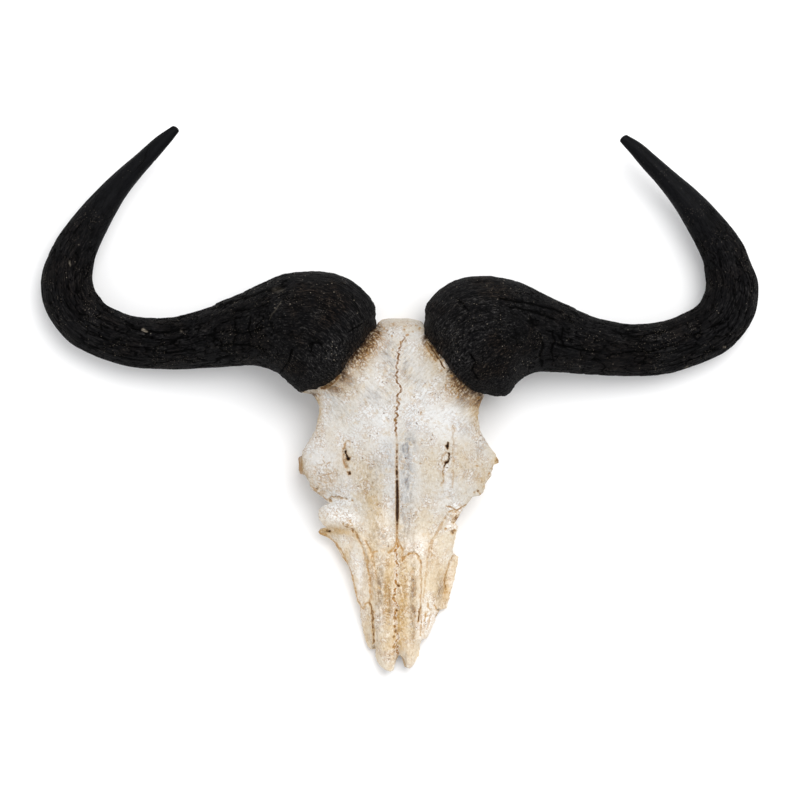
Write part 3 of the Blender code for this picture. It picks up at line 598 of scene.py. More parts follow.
def carveFace(x, y):
    # Low relief of the face and the colour of its marks: lines and holes as hills turned down, at places
    # moved by noise, the open slot with steep walls, nasal bones as arches, burrs by the horns and grain as
    # stretched noise. How near a line or hole is falls off straight with the distance; the nearest one gives
    # how brown.
    height, near, brown = (np.zeros(x.shape) for _ in range(3))

    def mark(closeness, colour):
        # The nearest mark gives the colour.
        brown[:] = np.where(closeness > near, colour, brown)
        near[:] = np.maximum(near, closeness)

    movedX, movedY = (
        place + 0.7 * flatLumps(x, y, 3.4, 3.4, seed) + 0.5 * flatLumps(x, y, 1.6, 1.6, seed + 5)
        for place, seed in ((x, 12), (y, 13))
    )
    pale = patches(boneMarks["pale"], x, y)
    deeper = 1 + 0.45 * flatLumps(x, y, 3.8, 3.8, 14)
    for halfWidth, depth, colour, line in boneMarks["lines"]:
        distance = distanceTo(onObject(line), movedX, movedY)
        height -= depth * deeper * hill(distance, max(halfWidth, 1))
        pale = np.maximum(pale, -colour * hill(distance, 1.4 * halfWidth))
        mark(np.clip(1 - distance / (1.9 * halfWidth), 0, 1) * min(max(10 * colour, 0), 1), colour)
    for pixelX, pixelY, radius, depth, colour in boneMarks["holes"]:
        centreX, centreY = onObject([(pixelX, pixelY)])[0]
        distance = np.hypot(movedX - centreX, movedY - centreY)
        height -= depth * hill(distance, 1.3 * radius)
        mark(np.clip(1.25 - distance / (1.7 * radius), 0, 1), colour)

    # The middle seam: closed at both ends, and between them a shallow slot that is beaded above and plain
    # dark below.
    # Its dark core is painted shade that stands for the open gap.
    seam = seamOffset(x, y)
    height -= 0.6 * hill(seam, 1.2) * (rise(y, -34, -24) + rise(-y, 125, 140))
    ragged = (0.35 - 0.25 * rise(-y, 68, 80)) * flatLumps(0, y, 9, 2.2, 11)
    slotHalf = brokenLine(boneMarks["slotHalfWidth"], y) * (1 + ragged)
    slot = np.clip((slotHalf - np.abs(seam)) / 0.9 + 0.5, 0, 1) * rise(slotHalf, 0, 0.3)
    height -= boneMarks["slotDepth"] * slot * rise(slotHalf, 0, 0.9)
    beads = rise(flatLumps(0, y, 9, 2, 19), -0.15, 0.25) * rise(-y, 40, 50)
    dark = np.maximum(beads, rise(-y, 64, 78)) * rise(y, -115, -106)
    # Painted shade: the slot's core turns from brown to dark in place of an open gap
    mark(np.clip((slotHalf + 2.3 - np.abs(seam)) / 3.2, 0, 1) * rise(slotHalf, 0, 0.4), 0.7 + 0.3 * dark)

    # The nasal bones: arches on each side of the seam, from the arcs at their tops to the tips
    for centre, halfWidth, top in boneMarks["nasalBones"]:
        arch = np.clip(1 - ((x - centre) / halfWidth) ** 2, 0, 1)
        height += boneMarks["nasalHeight"] * arch * rise(-y, -top, -top + 9)

    # Burrs by the horns, worm-like channels on the brows, and roughness at the broken and flaking places
    burr = patches(boneMarks["burr"], movedX, movedY)
    ribs, burrPlace = burrRibs(x, y)
    height += burr * (0.8 * ribs + 0.7 * flatLumps(x, y, 2, 2, 33))
    worms, _ = cells(spread(x + 2 * flatLumps(x, y, 5, 5, 41), y, 0, 4.2, 3, 1), 43)
    brow = patches(boneMarks["brow"], x, y)
    height -= 0.6 * brow * hill(worms, 0.3)
    mark(0.85 * brow * np.clip(1 - worms / 0.3, 0, 1), 0.35)
    rough = patches(boneMarks["rough"], x, y)
    flakes = flatLumps(movedX, movedY, 3.2, 2.2, 44) + 0.8 * flatLumps(x, y, 1.7, 1.7, 45)
    height += 0.5 * rough * flakes
    mark(0.9 * rough * rise(-flakes, 0.3, 1.2), 0.5)

    # Grain along the bone, dents and a faint unevenness
    grain = flatLumps(x, y, 1.3, 9, 51) + 0.7 * flatLumps(x, y, 1, 4, 52)
    height += (0.09 + 0.14 * rise(-y, 90, 180)) * grain
    height += 0.4 * flatLumps(x, y, 9, 14, 53) + 0.2 * flatLumps(x, y, 2.6, 3.4, 54)
    plain = {"near": near, "brown": brown, "pale": pale, "burr": burr, "rough": rough}
    return height, plain, {"seam": seam, "burrPlace": burrPlace}


def outlineEdge(side, y):
    # Distance of the plate's outline from the middle line, roughened where the bone is broken or bare.
    outline = onObject(skullPlate[side + "Outline"])
    edge = brokenLine(np.column_stack([outline[:, 1], np.abs(outline[:, 0])]), y)
    seed = {"left": 61, "right": 71}[side]
    rough = 0.45 * flatLumps(y, y, 9, 2.4, seed) + 0.25 * flatLumps(y, y, 9, 1.1, seed + 1)
    return edge + rough * rise(-y, 0, 12)


def wallPoints(side, y, edge, top):
    # Side wall from the edge down to the sawn back: a curve drawn by (1-t)^2, 2t(1-t) and t^2 from three
    # places, with three sizes of noise.
    foot = np.minimum(smoothCurve(skullPlate[side + "Foot"], y), edge + skullPlate["footReach"])
    bottom = brokenLine(skullPlate[side + "FootHeight"], y)
    t = np.linspace(0, 1, skullPlate["wallColumns"] + 1)[1:] ** skullPlate["wallCrowding"]
    y, edge, top, foot, bottom = (v[:, None] for v in (y, edge, top, foot, bottom))
    x = edge * (1 - t) ** 2 + foot * (2 * t * (1 - t) + t * t)
    z = (top - 1) * (1 - t) ** 2 + (top - skullPlate["rim"] - 3) * 2 * t * (1 - t) + bottom * t * t
    rough = lumps(spread(x, y, z, 5, 5, 5), 81) + 0.5 * lumps(spread(x, y, z, 2, 2, 2), 82)
    rough += 2.2 * lumps(spread(x, y, z, 17, 13, 12), 83)
    x = x + 0.8 * rough * rise(t, 0, 0.3) * rise(1 - t, 0, 0.15)
    return (-x if side == "left" else x), z


def hollowPoints(y):
    # The hollow of the back, from the right foot to the left: its height falls off by the way out to a power.
    half = smoothCurve(skullPlate["hollowHalfWidth"], y)[:, None]
    height = smoothCurve(skullPlate["hollowHeight"], y)[:, None]
    turns = np.linspace(1, -1, skullPlate["hollowColumns"])
    across = np.sin(turns * math.pi / 2)
    feet = (brokenLine(skullPlate[key], y)[:, None] for key in ("rightFootHeight", "leftFootHeight"))
    raised = np.where(turns > 0, *feet)
    x = half * across
    z = np.maximum(height * (1 - np.abs(across) ** skullPlate["hollowSquareness"]), 0)
    z = np.maximum(z, raised * np.abs(turns) ** 4)
    y = y[:, None]
    rough = lumps(spread(x, y, z, 8, 8, 8), 91) + 0.6 * lumps(spread(x, y, z, 3.5, 3.5, 3.5), 92)
    return x, z + 0.9 * rough * rise(z, 4, 14)


def buildSkull(finish):
    # Rings across the plate (face, right wall, hollow, left wall) at rows spaced evenly along the crown's
    # profile.
    scan = np.linspace(skullPlate["poll"], skullPlate["nose"], 4000)
    profile = smoothCurve(skullPlate["crown"], scan)
    travelled = np.concatenate([[0], np.cumsum(np.hypot(np.diff(scan), 0.5 * np.diff(profile)))])
    y = np.interp(np.linspace(0, travelled[-1], skullPlate["rows"]), travelled, scan)

    crowding = skullPlate["middleCrowding"]
    share = np.linspace(-1, 1, skullPlate["faceColumns"])
    share = (1 - crowding) * share + crowding * share**3
    left, right = outlineEdge("left", y), outlineEdge("right", y)
    half = np.where(share < 0, left[:, None], right[:, None])
    faceX = half * share
    faceY = np.repeat(y[:, None], len(share), axis=1)
    height, plainMarks, placeMarks = carveFace(faceX, faceY)
    fromEdge = half * (1 - np.abs(share))
    drop, quickness = skullPlate["roundedEdge"]
    faceZ = domeHeight(faceX, faceY) + height - drop * np.exp(-fromEdge / quickness)

    rightX, rightZ = wallPoints("right", y, right, faceZ[:, -1])
    leftX, leftZ = wallPoints("left", y, left, faceZ[:, 0])
    hollowX, hollowZ = hollowPoints(y)
    x = np.concatenate([faceX, rightX, hollowX, leftX[:, ::-1]], axis=1)
    z = np.concatenate([faceZ, rightZ, hollowZ, leftZ[:, ::-1]], axis=1)
    # Towards the nose the rows bend to the shape of the two tips, walls and hollow by the face above them
    wallOnes = np.ones(skullPlate["wallColumns"])
    turns = np.sin(np.linspace(1, -1, skullPlate["hollowColumns"]) * math.pi / 2)
    beneath = np.where(turns > 0, right[:, None], left[:, None]) * turns
    above = np.concatenate([faceX, right[:, None] * wallOnes, beneath, -left[:, None] * wallOnes], axis=1)
    fork = skullPlate["forkFrom"]
    bent = fork + (y[:, None] - fork) * brokenLine(skullPlate["tipFork"], above)
    ringY = np.where(y[:, None] < fork, bent, y[:, None])
    points = np.stack([x, ringY, np.maximum(z, 0)], axis=-1)

    rows, columns = x.shape
    faceColumns = skullPlate["faceColumns"]
    hollowFrom = faceColumns + skullPlate["wallColumns"]
    column = np.arange(faceColumns, columns)
    inside = (column >= hollowFrom) & (column < hollowFrom + skullPlate["hollowColumns"])

    def overRing(values, beyond):
        # Values of the face, and one value or an array of them for the walls and the hollow.
        rest = np.broadcast_to(beyond, (rows, columns - faceColumns))
        return np.concatenate([values, rest], axis=1).ravel()

    beyond = x[:, faceColumns:], ringY[:, faceColumns:], z[:, faceColumns:]
    tan = patches(boneMarks["tan"], faceX, faceY) + 0.25 * np.exp(-fromEdge / 2.5)
    grey = patches(boneMarks["grey"], faceX, faceY)
    burrPlace = [overRing(part, 90.0) for part in np.moveaxis(placeMarks["burrPlace"], -1, 0)]
    attributes = {name: overRing(values, 0.0) for name, values in plainMarks.items()}
    attributes |= {
        "tan": overRing(tan, np.clip(0.4 + 0.7 * lumps(spread(*beyond, 20, 20, 12), 95), 0, 1)),
        "grey": overRing(grey, np.clip(0.9 * lumps(spread(*beyond, 16, 16, 9), 96), 0, 0.7)),
        "stain": overRing(0 * tan, patches(boneMarks["socket"], *beyond[:2])),
        "inside": overRing(0 * tan, inside),
        "wall": overRing(0 * tan, 1),
        "seam": overRing(placeMarks["seam"], 90.0) * millimetre,
        "burrPlace": np.stack(burrPlace, axis=-1) * millimetre,
    }
    lastRow = (rows - 1) * columns + np.arange(columns)
    lower, lastX = lastRow[: faceColumns - 1 : -1], above[-1]
    ends = [list(range(columns))]
    ends += stripFaces(lastRow[:faceColumns], lower, lastX[:faceColumns], lastX[: faceColumns - 1 : -1])
    return makePiece("bone_plate", points.reshape(-1, 3), gridFaces(rows, columns), ends, finish, attributes)


# Horn sheaths

hornRight = {
    "side": "right",
    "seed": 300,
    # Ribs from base to tip, in millimetres: x and y of the upper or inner side, x and y of the lower or outer
    # side, z of the middle, half depth
    "ribs": [
        (21, 70, 77, 4.5, 51, 40), (22.3, 80.6, 86, 3.5, 52, 43), (30.6, 92.2, 92, 4, 53, 45),
        (42, 102, 96.8, 4.4, 54, 46.5), (56.3, 108.3, 101.2, 7, 54, 47), (73, 110.7, 104.2, 10.6, 53.5, 47),
        (90, 109.9, 107.2, 15, 52.5, 46), (110, 105.5, 114, 21, 51, 42), (130, 95.8, 124.5, 25, 48, 37),
        (149.5, 86.2, 140, 25.1, 45, 32.5), (180.5, 73.7, 173.5, 23, 39, 27.5),
        (210, 68.4, 210, 21.7, 33.5, 24), (238.5, 71, 248.5, 25, 30, 22.5),
        (261.9, 79.8, 288.9, 39.5, 28.5, 22), (271.6, 86.6, 308.4, 54.8, 28.5, 22),
        (276, 94.6, 322.2, 77.2, 28.5, 22), (278.5, 104, 325.7, 103.5, 29, 21.5),
        (277.2, 116.5, 318.2, 125.5, 30, 20.2), (274.8, 127.6, 309, 145.5, 31, 18.5),
        (261.2, 154.8, 284.8, 174.1, 34, 15), (242.8, 182.8, 258.3, 197.8, 37.5, 11),
        (221.2, 208.3, 232.2, 220.3, 41, 7.5), (210.6, 221.2, 219.2, 230.6, 42.8, 5.4),
        (200.6, 231.8, 206.8, 237.9, 44.5, 3.2),
    ],
    # Where a layer of the sheath ends: how far along, the side of the horn it is on in degrees (0 is the
    # upper or inner side, 90 faces up), how far round it reaches, and the height of the step
    "ledges": [(138, 20, 50, 0.8), (262, 60, 70, 0.6)],
    # Cuts in its upper side: half width and depth in millimetres, how much they show pale, and the line in
    # pixels
    "cuts": [
        (1.4, 1.4, 0, [(498, 299), (515, 302.5), (534, 305), (560, 313)]),
        (1.2, 1, 0, [(508, 308), (530, 312), (552, 320)]),
        (1.3, 1.2, 0, [(556, 345), (576, 350), (598, 353)]),
        (1.2, 1.2, 0, [(538, 334), (541, 345), (538, 356), (541, 366)]),
        (1.1, 1, 0, [(551, 332), (553, 341), (550, 352), (553, 361)]),
        (1.1, 0.9, 0, [(562, 329), (560, 340), (564, 349)]),
        (1.1, 0.9, 0, [(470, 355), (474, 362), (472, 370), (478, 378)]),
        (1, 0.8, 0, [(455, 300), (463, 305), (468, 312)]),
        (1.2, 1, 0, [(612, 331), (636, 337), (664, 331)]),
        (1.1, 0.9, 0, [(625, 352), (650, 352), (672, 345)]),
        (0.9, 0.2, 0.6, [(724, 347), (724.8, 348.4)]),
        (1, 0.2, 0.35, [(683.4, 371.8), (687.6, 366.6)]),
    ],
}
hornLeft = {
    "side": "left",
    "seed": 400,
    "ribs": [
        (-16.3, 71, -79, 5, 51, 40), (-18.5, 83.1, -86.5, 6.5, 52, 43), (-27, 95.4, -90.5, 9.8, 53, 45),
        (-41.2, 107.1, -94, 12.8, 54, 46.5), (-58.8, 114, -98.8, 16.5, 54, 47),
        (-80, 115.5, -102.5, 20, 53.5, 47), (-104, 112.6, -109, 24.8, 52.5, 46),
        (-127, 102.3, -120, 29.3, 50, 41), (-145.5, 93, -134, 31, 47, 36), (-177, 80.6, -168, 29, 41, 29.5),
        (-207.5, 74.1, -206, 27.4, 34.5, 25), (-236.5, 75.4, -246, 30.7, 30, 22.5),
        (-260.6, 84.6, -286, 46, 28.5, 22), (-269, 93, -305.3, 61.7, 28.5, 22),
        (-273.5, 99.5, -319, 84.3, 28.5, 22), (-275.5, 109, -321.7, 110.5, 29, 21.5),
        (-274, 122, -314.8, 131.5, 30, 20), (-270.4, 134.3, -303.9, 150.9, 31, 18),
        (-256.7, 162.2, -280.5, 179, 34, 14.5), (-239.8, 189.4, -255.9, 203.6, 37, 11),
        (-219.6, 213.8, -230.3, 225, 40.5, 7.5), (-208.4, 226.9, -217, 235.9, 42.7, 5.3),
        (-196.9, 240.6, -202.9, 245.9, 45, 2.9),
    ],
    "ledges": [(142, 25, 45, 1.1), (188, 70, 80, 0.7)],
    "cuts": [
        (1.5, 1.6, 0, [(313, 351.5), (311.6, 347), (314.4, 343.6), (320, 343.4), (323, 346)]),
        (2.6, 1.2, 0.1, [(276, 290.5), (284, 291)]),
        (0.7, 0.1, 0.13, [(282.6, 303.6), (277, 311), (271.4, 320)]),
        (1.3, 0.4, 1, [(144.4, 329.6), (147, 331)]),
        (0.9, 0.2, 0.4, [(71, 261.6), (71.4, 266)]),
        (0.9, 0.2, 0.3, [(181.6, 331.2), (182.6, 332.4)]),
        (1.2, 1.2, 0, [(286, 288), (262, 294), (236, 303), (212, 309)]),
        (1.2, 1, 0, [(268, 282), (248, 291), (228, 299)]),
        (1.2, 1.1, 0, [(268, 350), (244, 345), (222, 346)]),
        (1.1, 1, 0, [(282, 372), (290, 362), (294, 350)]),
        (1, 0.8, 0, [(352, 298), (358, 308), (362, 318)]),
        (1.1, 1, 0, [(236, 322), (238, 332), (235, 343)]),
        (1.1, 0.9, 0, [(252, 318), (250, 330), (254, 339)]),
        (1.2, 1, 0, [(190, 330), (160, 333), (132, 328)]),
        (1.1, 0.9, 0, [(196, 350), (170, 353), (146, 349)]),
        (1, 0.8, 0, [(364, 326), (356, 330), (349, 333)]),
    ],
}
hornShape = {
    "rows": 480,
    "columns": 190,
    "baseHalfWidth": 40.5,
    "baseHalfDepth": 37,
    "baseHeight": 50,
    "borderReach": 14,  # how far along the horn its base follows the real border
    "borderEnds": (-42, 46),
    "cupDepth": 5,
    "cupRings": ((0.93, 5), (0.965, 0.8)),  # their size as a share of the rim, and how far in they stand
    "fullness": 2.2,  # of the base's section, where 2 is an ellipse
    "tipRows": 8,
    "tipLength": 2.4,
    # Where the boss ends and the shaft begins, and from the tip where the shaft ends and the smooth tip
    # begins
    "bossEnd": (60, 100),
    "shaftFrom": (70, 105),
    "shaftTo": (60, 130),
    "smoothTip": (70, 190),
}


def carveHorn(points, straight, theta, length, horn):
    # Depth of a sheath's surface in the space of the straightened horn: fibres are noise stretched along it,
    # cracks the borders of stretched cells and the zero lines of long noise, ledges a step at one length, and
    # cuts are hills turned down along lines seen from above.
    seed = horn["seed"]
    x, y, along = straight[..., 0], straight[..., 1], straight[..., 2]

    def bumps(size, longer, number):
        # Noise with features of this size across the horn and this length along it.
        return lumps(spread(x, y, along, size, size, longer), seed + number)

    shaft = rise(along, *hornShape["shaftFrom"]) * rise(length - along, *hornShape["shaftTo"])
    boss = 1 - rise(along, *hornShape["bossEnd"])
    tip = 1 - rise(length - along, *hornShape["smoothTip"])
    fibres = bumps(1.9, 26, 0) + 0.6 * bumps(1.1, 12, 1)
    broad = bumps(15, 30, 2)
    bark = bumps(2.3, 5, 3) + 0.7 * bumps(1.3, 2.4, 4)
    plates, owner = cells(spread(x + 1.6 * broad, y, along + 3 * fibres, 6.5, 6.5, 11), seed + 5)
    cracks = hill(plates, 0.13) * rise(owner, 0.35, 0.75) * shaft
    splits = hill(np.abs(bumps(7, 60, 6)), 0.07) * rise(bumps(12, 40, 7), -0.1, 0.4) * (1 - boss * 0.7)
    depth = (0.75 - 0.3 * shaft) * broad + (0.22 - 0.12 * tip) * fibres + 0.3 * boss * bark
    depth += 0.12 * (1 - tip) * bark
    depth += 0.35 * shaft * (owner - 0.5) - 1.0 * cracks - 0.9 * splits * (1 - 0.7 * tip)
    wavy = 6 * flatLumps(x, y, 6, 6, seed + 8)
    for place, side, reach, height in horn["ledges"]:
        turned = np.abs((np.degrees(theta) - side + 180) % 360 - 180)
        edge = place + wavy
        layer = height * rise(reach - turned, 0, 25) * (1 - rise(along, edge - 1, edge + 1))
        depth += layer * rise(along, place - 50, place)
    dark, pale = np.clip(cracks + splits, 0, 1), np.zeros(depth.shape)
    movedX, movedY = (points[..., axis] + 0.9 * bumps(4, 4, 9 + axis) for axis in (0, 1))
    facing = rise(np.sin(theta), 0, 0.3)
    for halfWidth, cut, paleness, line in horn["cuts"]:
        shape = facing * hill(distanceTo(onObject(line), movedX, movedY), 1.3 * halfWidth)
        depth -= cut * shape
        dark = np.maximum(dark, shape * (paleness == 0))
        pale = np.maximum(pale, shape * paleness)
    return depth, dark, pale, owner


def hornRings(horn, outward):
    # Rounded rings carried through the ribs by smooth curves, evenly along the horn, and rings that shrink as
    # a quarter circle round the tip: their middles, half widths and half depths as vectors, and how far
    # along.
    towardsPoll = np.array([-outward[1] * np.sign(outward[0]), abs(outward[0])])
    seat = np.array(seats[horn["side"]]["point"])
    upper, lower = (seat + turn * hornShape["baseHalfWidth"] * towardsPoll for turn in (1, -1))
    base = (*upper, *lower, hornShape["baseHeight"], hornShape["baseHalfDepth"])
    table = np.array([base] + horn["ribs"], float)

    def ribsAt(places):
        return np.column_stack([flowingCurve(column, places) for column in table.T])

    scan = np.linspace(0, len(table) - 1, 5000)
    curves = ribsAt(scan)
    spine = np.column_stack([(2 * curves[:, :2] + curves[:, 2:4]) / 3, curves[:, 4]])
    travelled = np.concatenate([[0], np.cumsum(np.linalg.norm(np.diff(spine, axis=0), axis=1))])
    along = np.linspace(0, travelled[-1], hornShape["rows"])
    ribs = ribsAt(np.interp(along, travelled, scan))

    middle = np.column_stack([(ribs[:, :2] + ribs[:, 2:4]) / 2, ribs[:, 4]])
    across = np.column_stack([(ribs[:, :2] - ribs[:, 2:4]) / 2, 0 * ribs[:, 4]])
    depth = np.column_stack([0 * ribs[:, :2], ribs[:, 5]])
    turn = np.linspace(0, 1, hornShape["tipRows"] + 1)[1:-1, None] * math.pi / 2
    forward = (middle[-1] - middle[-4]) / np.linalg.norm(middle[-1] - middle[-4])
    ahead = np.sin(turn) * hornShape["tipLength"]
    middle = np.vstack([middle, middle[-1] + ahead * forward])
    tipPoint = middle[-1] + forward * hornShape["tipLength"] * (1 - math.sin(turn[-1, 0]))
    across, depth = (np.vstack([side, np.cos(turn) * side[-1]]) for side in (across, depth))
    return middle, across, depth, np.concatenate([along, along[-1] + ahead[:, 0]]), tipPoint


def buildHorn(name, horn, finish):
    # The horn's rings as points, moved out along their normals by the relief. The base follows the border on
    # the bone and is a shallow cup over it.
    outward = np.array([*seats[horn["side"]]["outward"], 0.0])
    outward /= np.linalg.norm(outward)
    middle, across, depth, along, tipPoint = hornRings(horn, outward)
    length = along[hornShape["rows"] - 1]

    theta = np.linspace(-math.pi / 2, 1.5 * math.pi, hornShape["columns"], endpoint=False)
    power = 2 / (2 + (hornShape["fullness"] - 2) * (1 - rise(along, 20, 90)))[:, None]
    cos, sin = (np.sign(wave) * np.abs(wave) ** power for wave in (np.cos(theta), np.sin(theta)))
    points = middle[:, None] + across[:, None] * cos[..., None] + depth[:, None] * sin[..., None]
    radius = np.sqrt((np.linalg.norm(across, axis=1) ** 2 + depth[:, 2] ** 2) / 2)[:, None]
    straight = np.stack([radius * np.cos(theta), radius * np.sin(theta), along[:, None] + 0 * cos], axis=-1)

    turned = np.broadcast_to(theta, cos.shape)
    relief, cracks, scraped, owner = carveHorn(points, straight, turned, length, horn)
    crosswise = np.roll(points, -1, axis=1) - np.roll(points, 1, axis=1)
    normal = np.cross(np.gradient(points, axis=0), crosswise)
    normal /= np.maximum(np.linalg.norm(normal, axis=-1, keepdims=True), 1e-9)
    normal *= np.sign(np.sum(normal * (points - middle[:, None]), axis=-1, keepdims=True))
    calm = rise(along, 0, 4)[:, None] * rise(-along, -along[-1], -along[-1] + 12)[:, None]
    points += normal * (relief * (0.25 + 0.75 * calm))[..., None]

    # The base follows the horn's border on the bone, with a slightly ragged rim
    seatAlong, _ = seatPlace(horn["side"], points[..., 0], points[..., 1])
    shift = seatBorder(horn["side"], np.clip(seatAlong, *hornShape["borderEnds"]))
    shift += 0.6 * flatLumps(seatAlong, points[..., 2], 3, 3, horn["seed"] + 9)
    fade = np.exp(-((along / hornShape["borderReach"]) ** 2))[:, None]
    points += (shift * rise(points[..., 2], 20, 60) * fade)[..., None] * outward

    rim = points[0]
    centre = rim.mean(axis=0)
    cup = [centre + (rim - centre) * share + outward * inset for share, inset in hornShape["cupRings"]]
    points = np.concatenate([np.array(cup), points])
    rows, columns = points.shape[:2]
    basePole, tipPole = rows * columns, rows * columns + 1
    points = np.vstack([points.reshape(-1, 3), centre + outward * hornShape["cupDepth"], tipPoint])

    def onPoints(values, atBase, atTip):
        # Values of the rings, repeated on the cup's rings, with one for each pole.
        onCup = np.repeat(values[:1], len(cup), axis=0)
        return np.concatenate([onCup.ravel(), values.ravel(), [atBase, atTip]])

    flat = [onPoints(straight[..., k], 0, straight[-1, 0, k]) for k in range(3)]
    attributes = {
        "straight": np.stack(flat, axis=-1) * millimetre,
        "crack": onPoints(cracks, 0, 0),
        "scraped": onPoints(scraped, 0, 0),
        "plate": onPoints(owner, 0.5, 0.5),
        "fromTip": onPoints(length - along[:, None] + 0 * cos, length, 0) * millimetre,
    }
    last = np.arange(rows * columns - columns, rows * columns)
    ends = fanFaces(np.arange(columns)[::-1], basePole) + fanFaces(last, tipPole)
    return makePiece(name, points, gridFaces(rows, columns), ends, finish, attributes)


# Finishes

# How bright the studio's light makes a white surface that faces up
lightLevel = 1.42


def shade(red, green, blue):
    # The linear colour of a surface that looks like this screen colour, from 0 to 255, under the studio's
    # light.
    linear = [(c / 255 / 12.92) if c < 11 else ((c / 255 + 0.055) / 1.055) ** 2.4 for c in (red, green, blue)]
    return (*(part / lightLevel for part in linear), 1)


class Wire:
    # A socket of a material's node tree, on which sums and products of numbers can be written.

    def __init__(self, tree, socket=None):
        self.tree = tree
        self.socket = socket

    def node(self, kind, settings=None, sockets=None, output=0):
        # Any node: its settings first, then the values or wires of its sockets.
        made = self.tree.nodes.new(kind)
        for key, value in (settings or {}).items():
            setattr(made, key, value)
        for key, value in (sockets or {}).items():
            if isinstance(value, Wire):
                self.tree.links.new(value.socket, made.inputs[key])
            else:
                made.inputs[key].default_value = value
        return Wire(self.tree, made.outputs[output])

    def maths(self, operation, *values):
        return self.node("ShaderNodeMath", {"operation": operation}, dict(enumerate(values)))

    def __add__(self, other):
        return self.maths("ADD", self, other)

    def __radd__(self, other):
        return self.maths("ADD", other, self)

    def __sub__(self, other):
        return self.maths("SUBTRACT", self, other)

    def __rsub__(self, other):
        return self.maths("SUBTRACT", other, self)

    def __mul__(self, other):
        return self.maths("MULTIPLY", self, other)

    def __rmul__(self, other):
        return self.maths("MULTIPLY", other, self)

    def size(self):
        return self.maths("ABSOLUTE", self)

    def between(self, low, high):
        # 0 below the first limit and 1 above the second, with soft ends; the limits may be the other way
        # round.
        limits = {0: self, 1: min(low, high), 2: max(low, high), 3: float(low > high), 4: float(low < high)}
        return self.node("ShaderNodeMapRange", {"interpolation_type": "SMOOTHSTEP"}, limits)

    def read(self, name, output="Fac"):
        # An attribute of the mesh.
        return self.node("ShaderNodeAttribute", {"attribute_name": name}, output=output)

    def axis(self, name):
        # One coordinate of a place.
        return self.node("ShaderNodeSeparateXYZ", {}, {0: self}, name)

    def times(self, other):
        # A colour or place times another, part by part.
        return self.node("ShaderNodeVectorMath", {"operation": "MULTIPLY"}, {0: self, 1: other})

    def noise(self, scale, detail=2.0, roughness=0.5):
        sockets = {"Vector": self, "Scale": scale, "Detail": detail, "Roughness": roughness}
        return self.node("ShaderNodeTexNoise", {}, sockets)

    def spots(self, scale):
        # The distance to the nearest of many random places.
        return self.node("ShaderNodeTexVoronoi", {}, {"Vector": self, "Scale": scale})

    def lay(self, top, below):
        # One colour over another, by this share from 0 to 1.
        return self.node("ShaderNodeMix", {"data_type": "RGBA"}, {0: self, 6: below, 7: top}, output=2)

    def bump(self, distance):
        # A surface normal from this height, in metres for each unit of height.
        return self.node("ShaderNodeBump", {}, {"Height": self, "Distance": distance, "Strength": 1.0})


def startFinish(name):
    # A new material with its Principled BSDF, and a wire to make nodes from.
    finish = bpy.data.materials.new(name)
    finish.use_nodes = True
    return finish, finish.node_tree.nodes["Principled BSDF"], Wire(finish.node_tree)


def connect(shader, **wires):
    # Wires, or plain values, into the shader's sockets; an underscore stands for a space.
    for name, value in wires.items():
        socket = shader.inputs[name.replace("_", " ")]
        if isinstance(value, Wire):
            value.tree.links.new(value.socket, socket)
        else:
            socket.default_value = value


def layered(palette, below, layers):
    # Colours laid over one another in turn, each by its share: names in the palette, or wires.
    for share, colour in layers:
        below = share.lay(palette[colour] if isinstance(colour, str) else colour, below)
    return below


boneFinish = {
    "cream": shade(236, 235, 231),
    "warm": shade(236, 224, 200),
    "white": shade(253, 253, 251),
    "tan": shade(212, 180, 128),
    "grey": shade(160, 160, 162),
    # At the burrs' lower ends, under the horns' bosses, the taupe is painted shade
    "taupe": shade(152, 134, 116),  # the grey of the nose and of the burrs' lower ends
    "dirt": shade(150, 128, 98),
    "golden": shade(186, 138, 74),
    "brown": shade(116, 78, 42),
    "dark": shade(58, 36, 20),
    "inside": shade(212, 188, 154),
    # What the colours are multiplied by above the lacrimal lobes, and from there to the paler, warmer nose
    "faceTint": (0.965, 0.97, 0.98, 1),
    "noseTint": (1.22, 1.16, 1.07, 1),
    # Painted light: the lacrimal lobes face down and to the left, away from the lamp, and are brightened to
    # make up for it
    "lobePaintedLight": 0.28,  # how much paler still the lacrimal lobes are
    "noseGlow": 0.23,  # and the pale parts of the nose
    "relief": 0.00085,
}


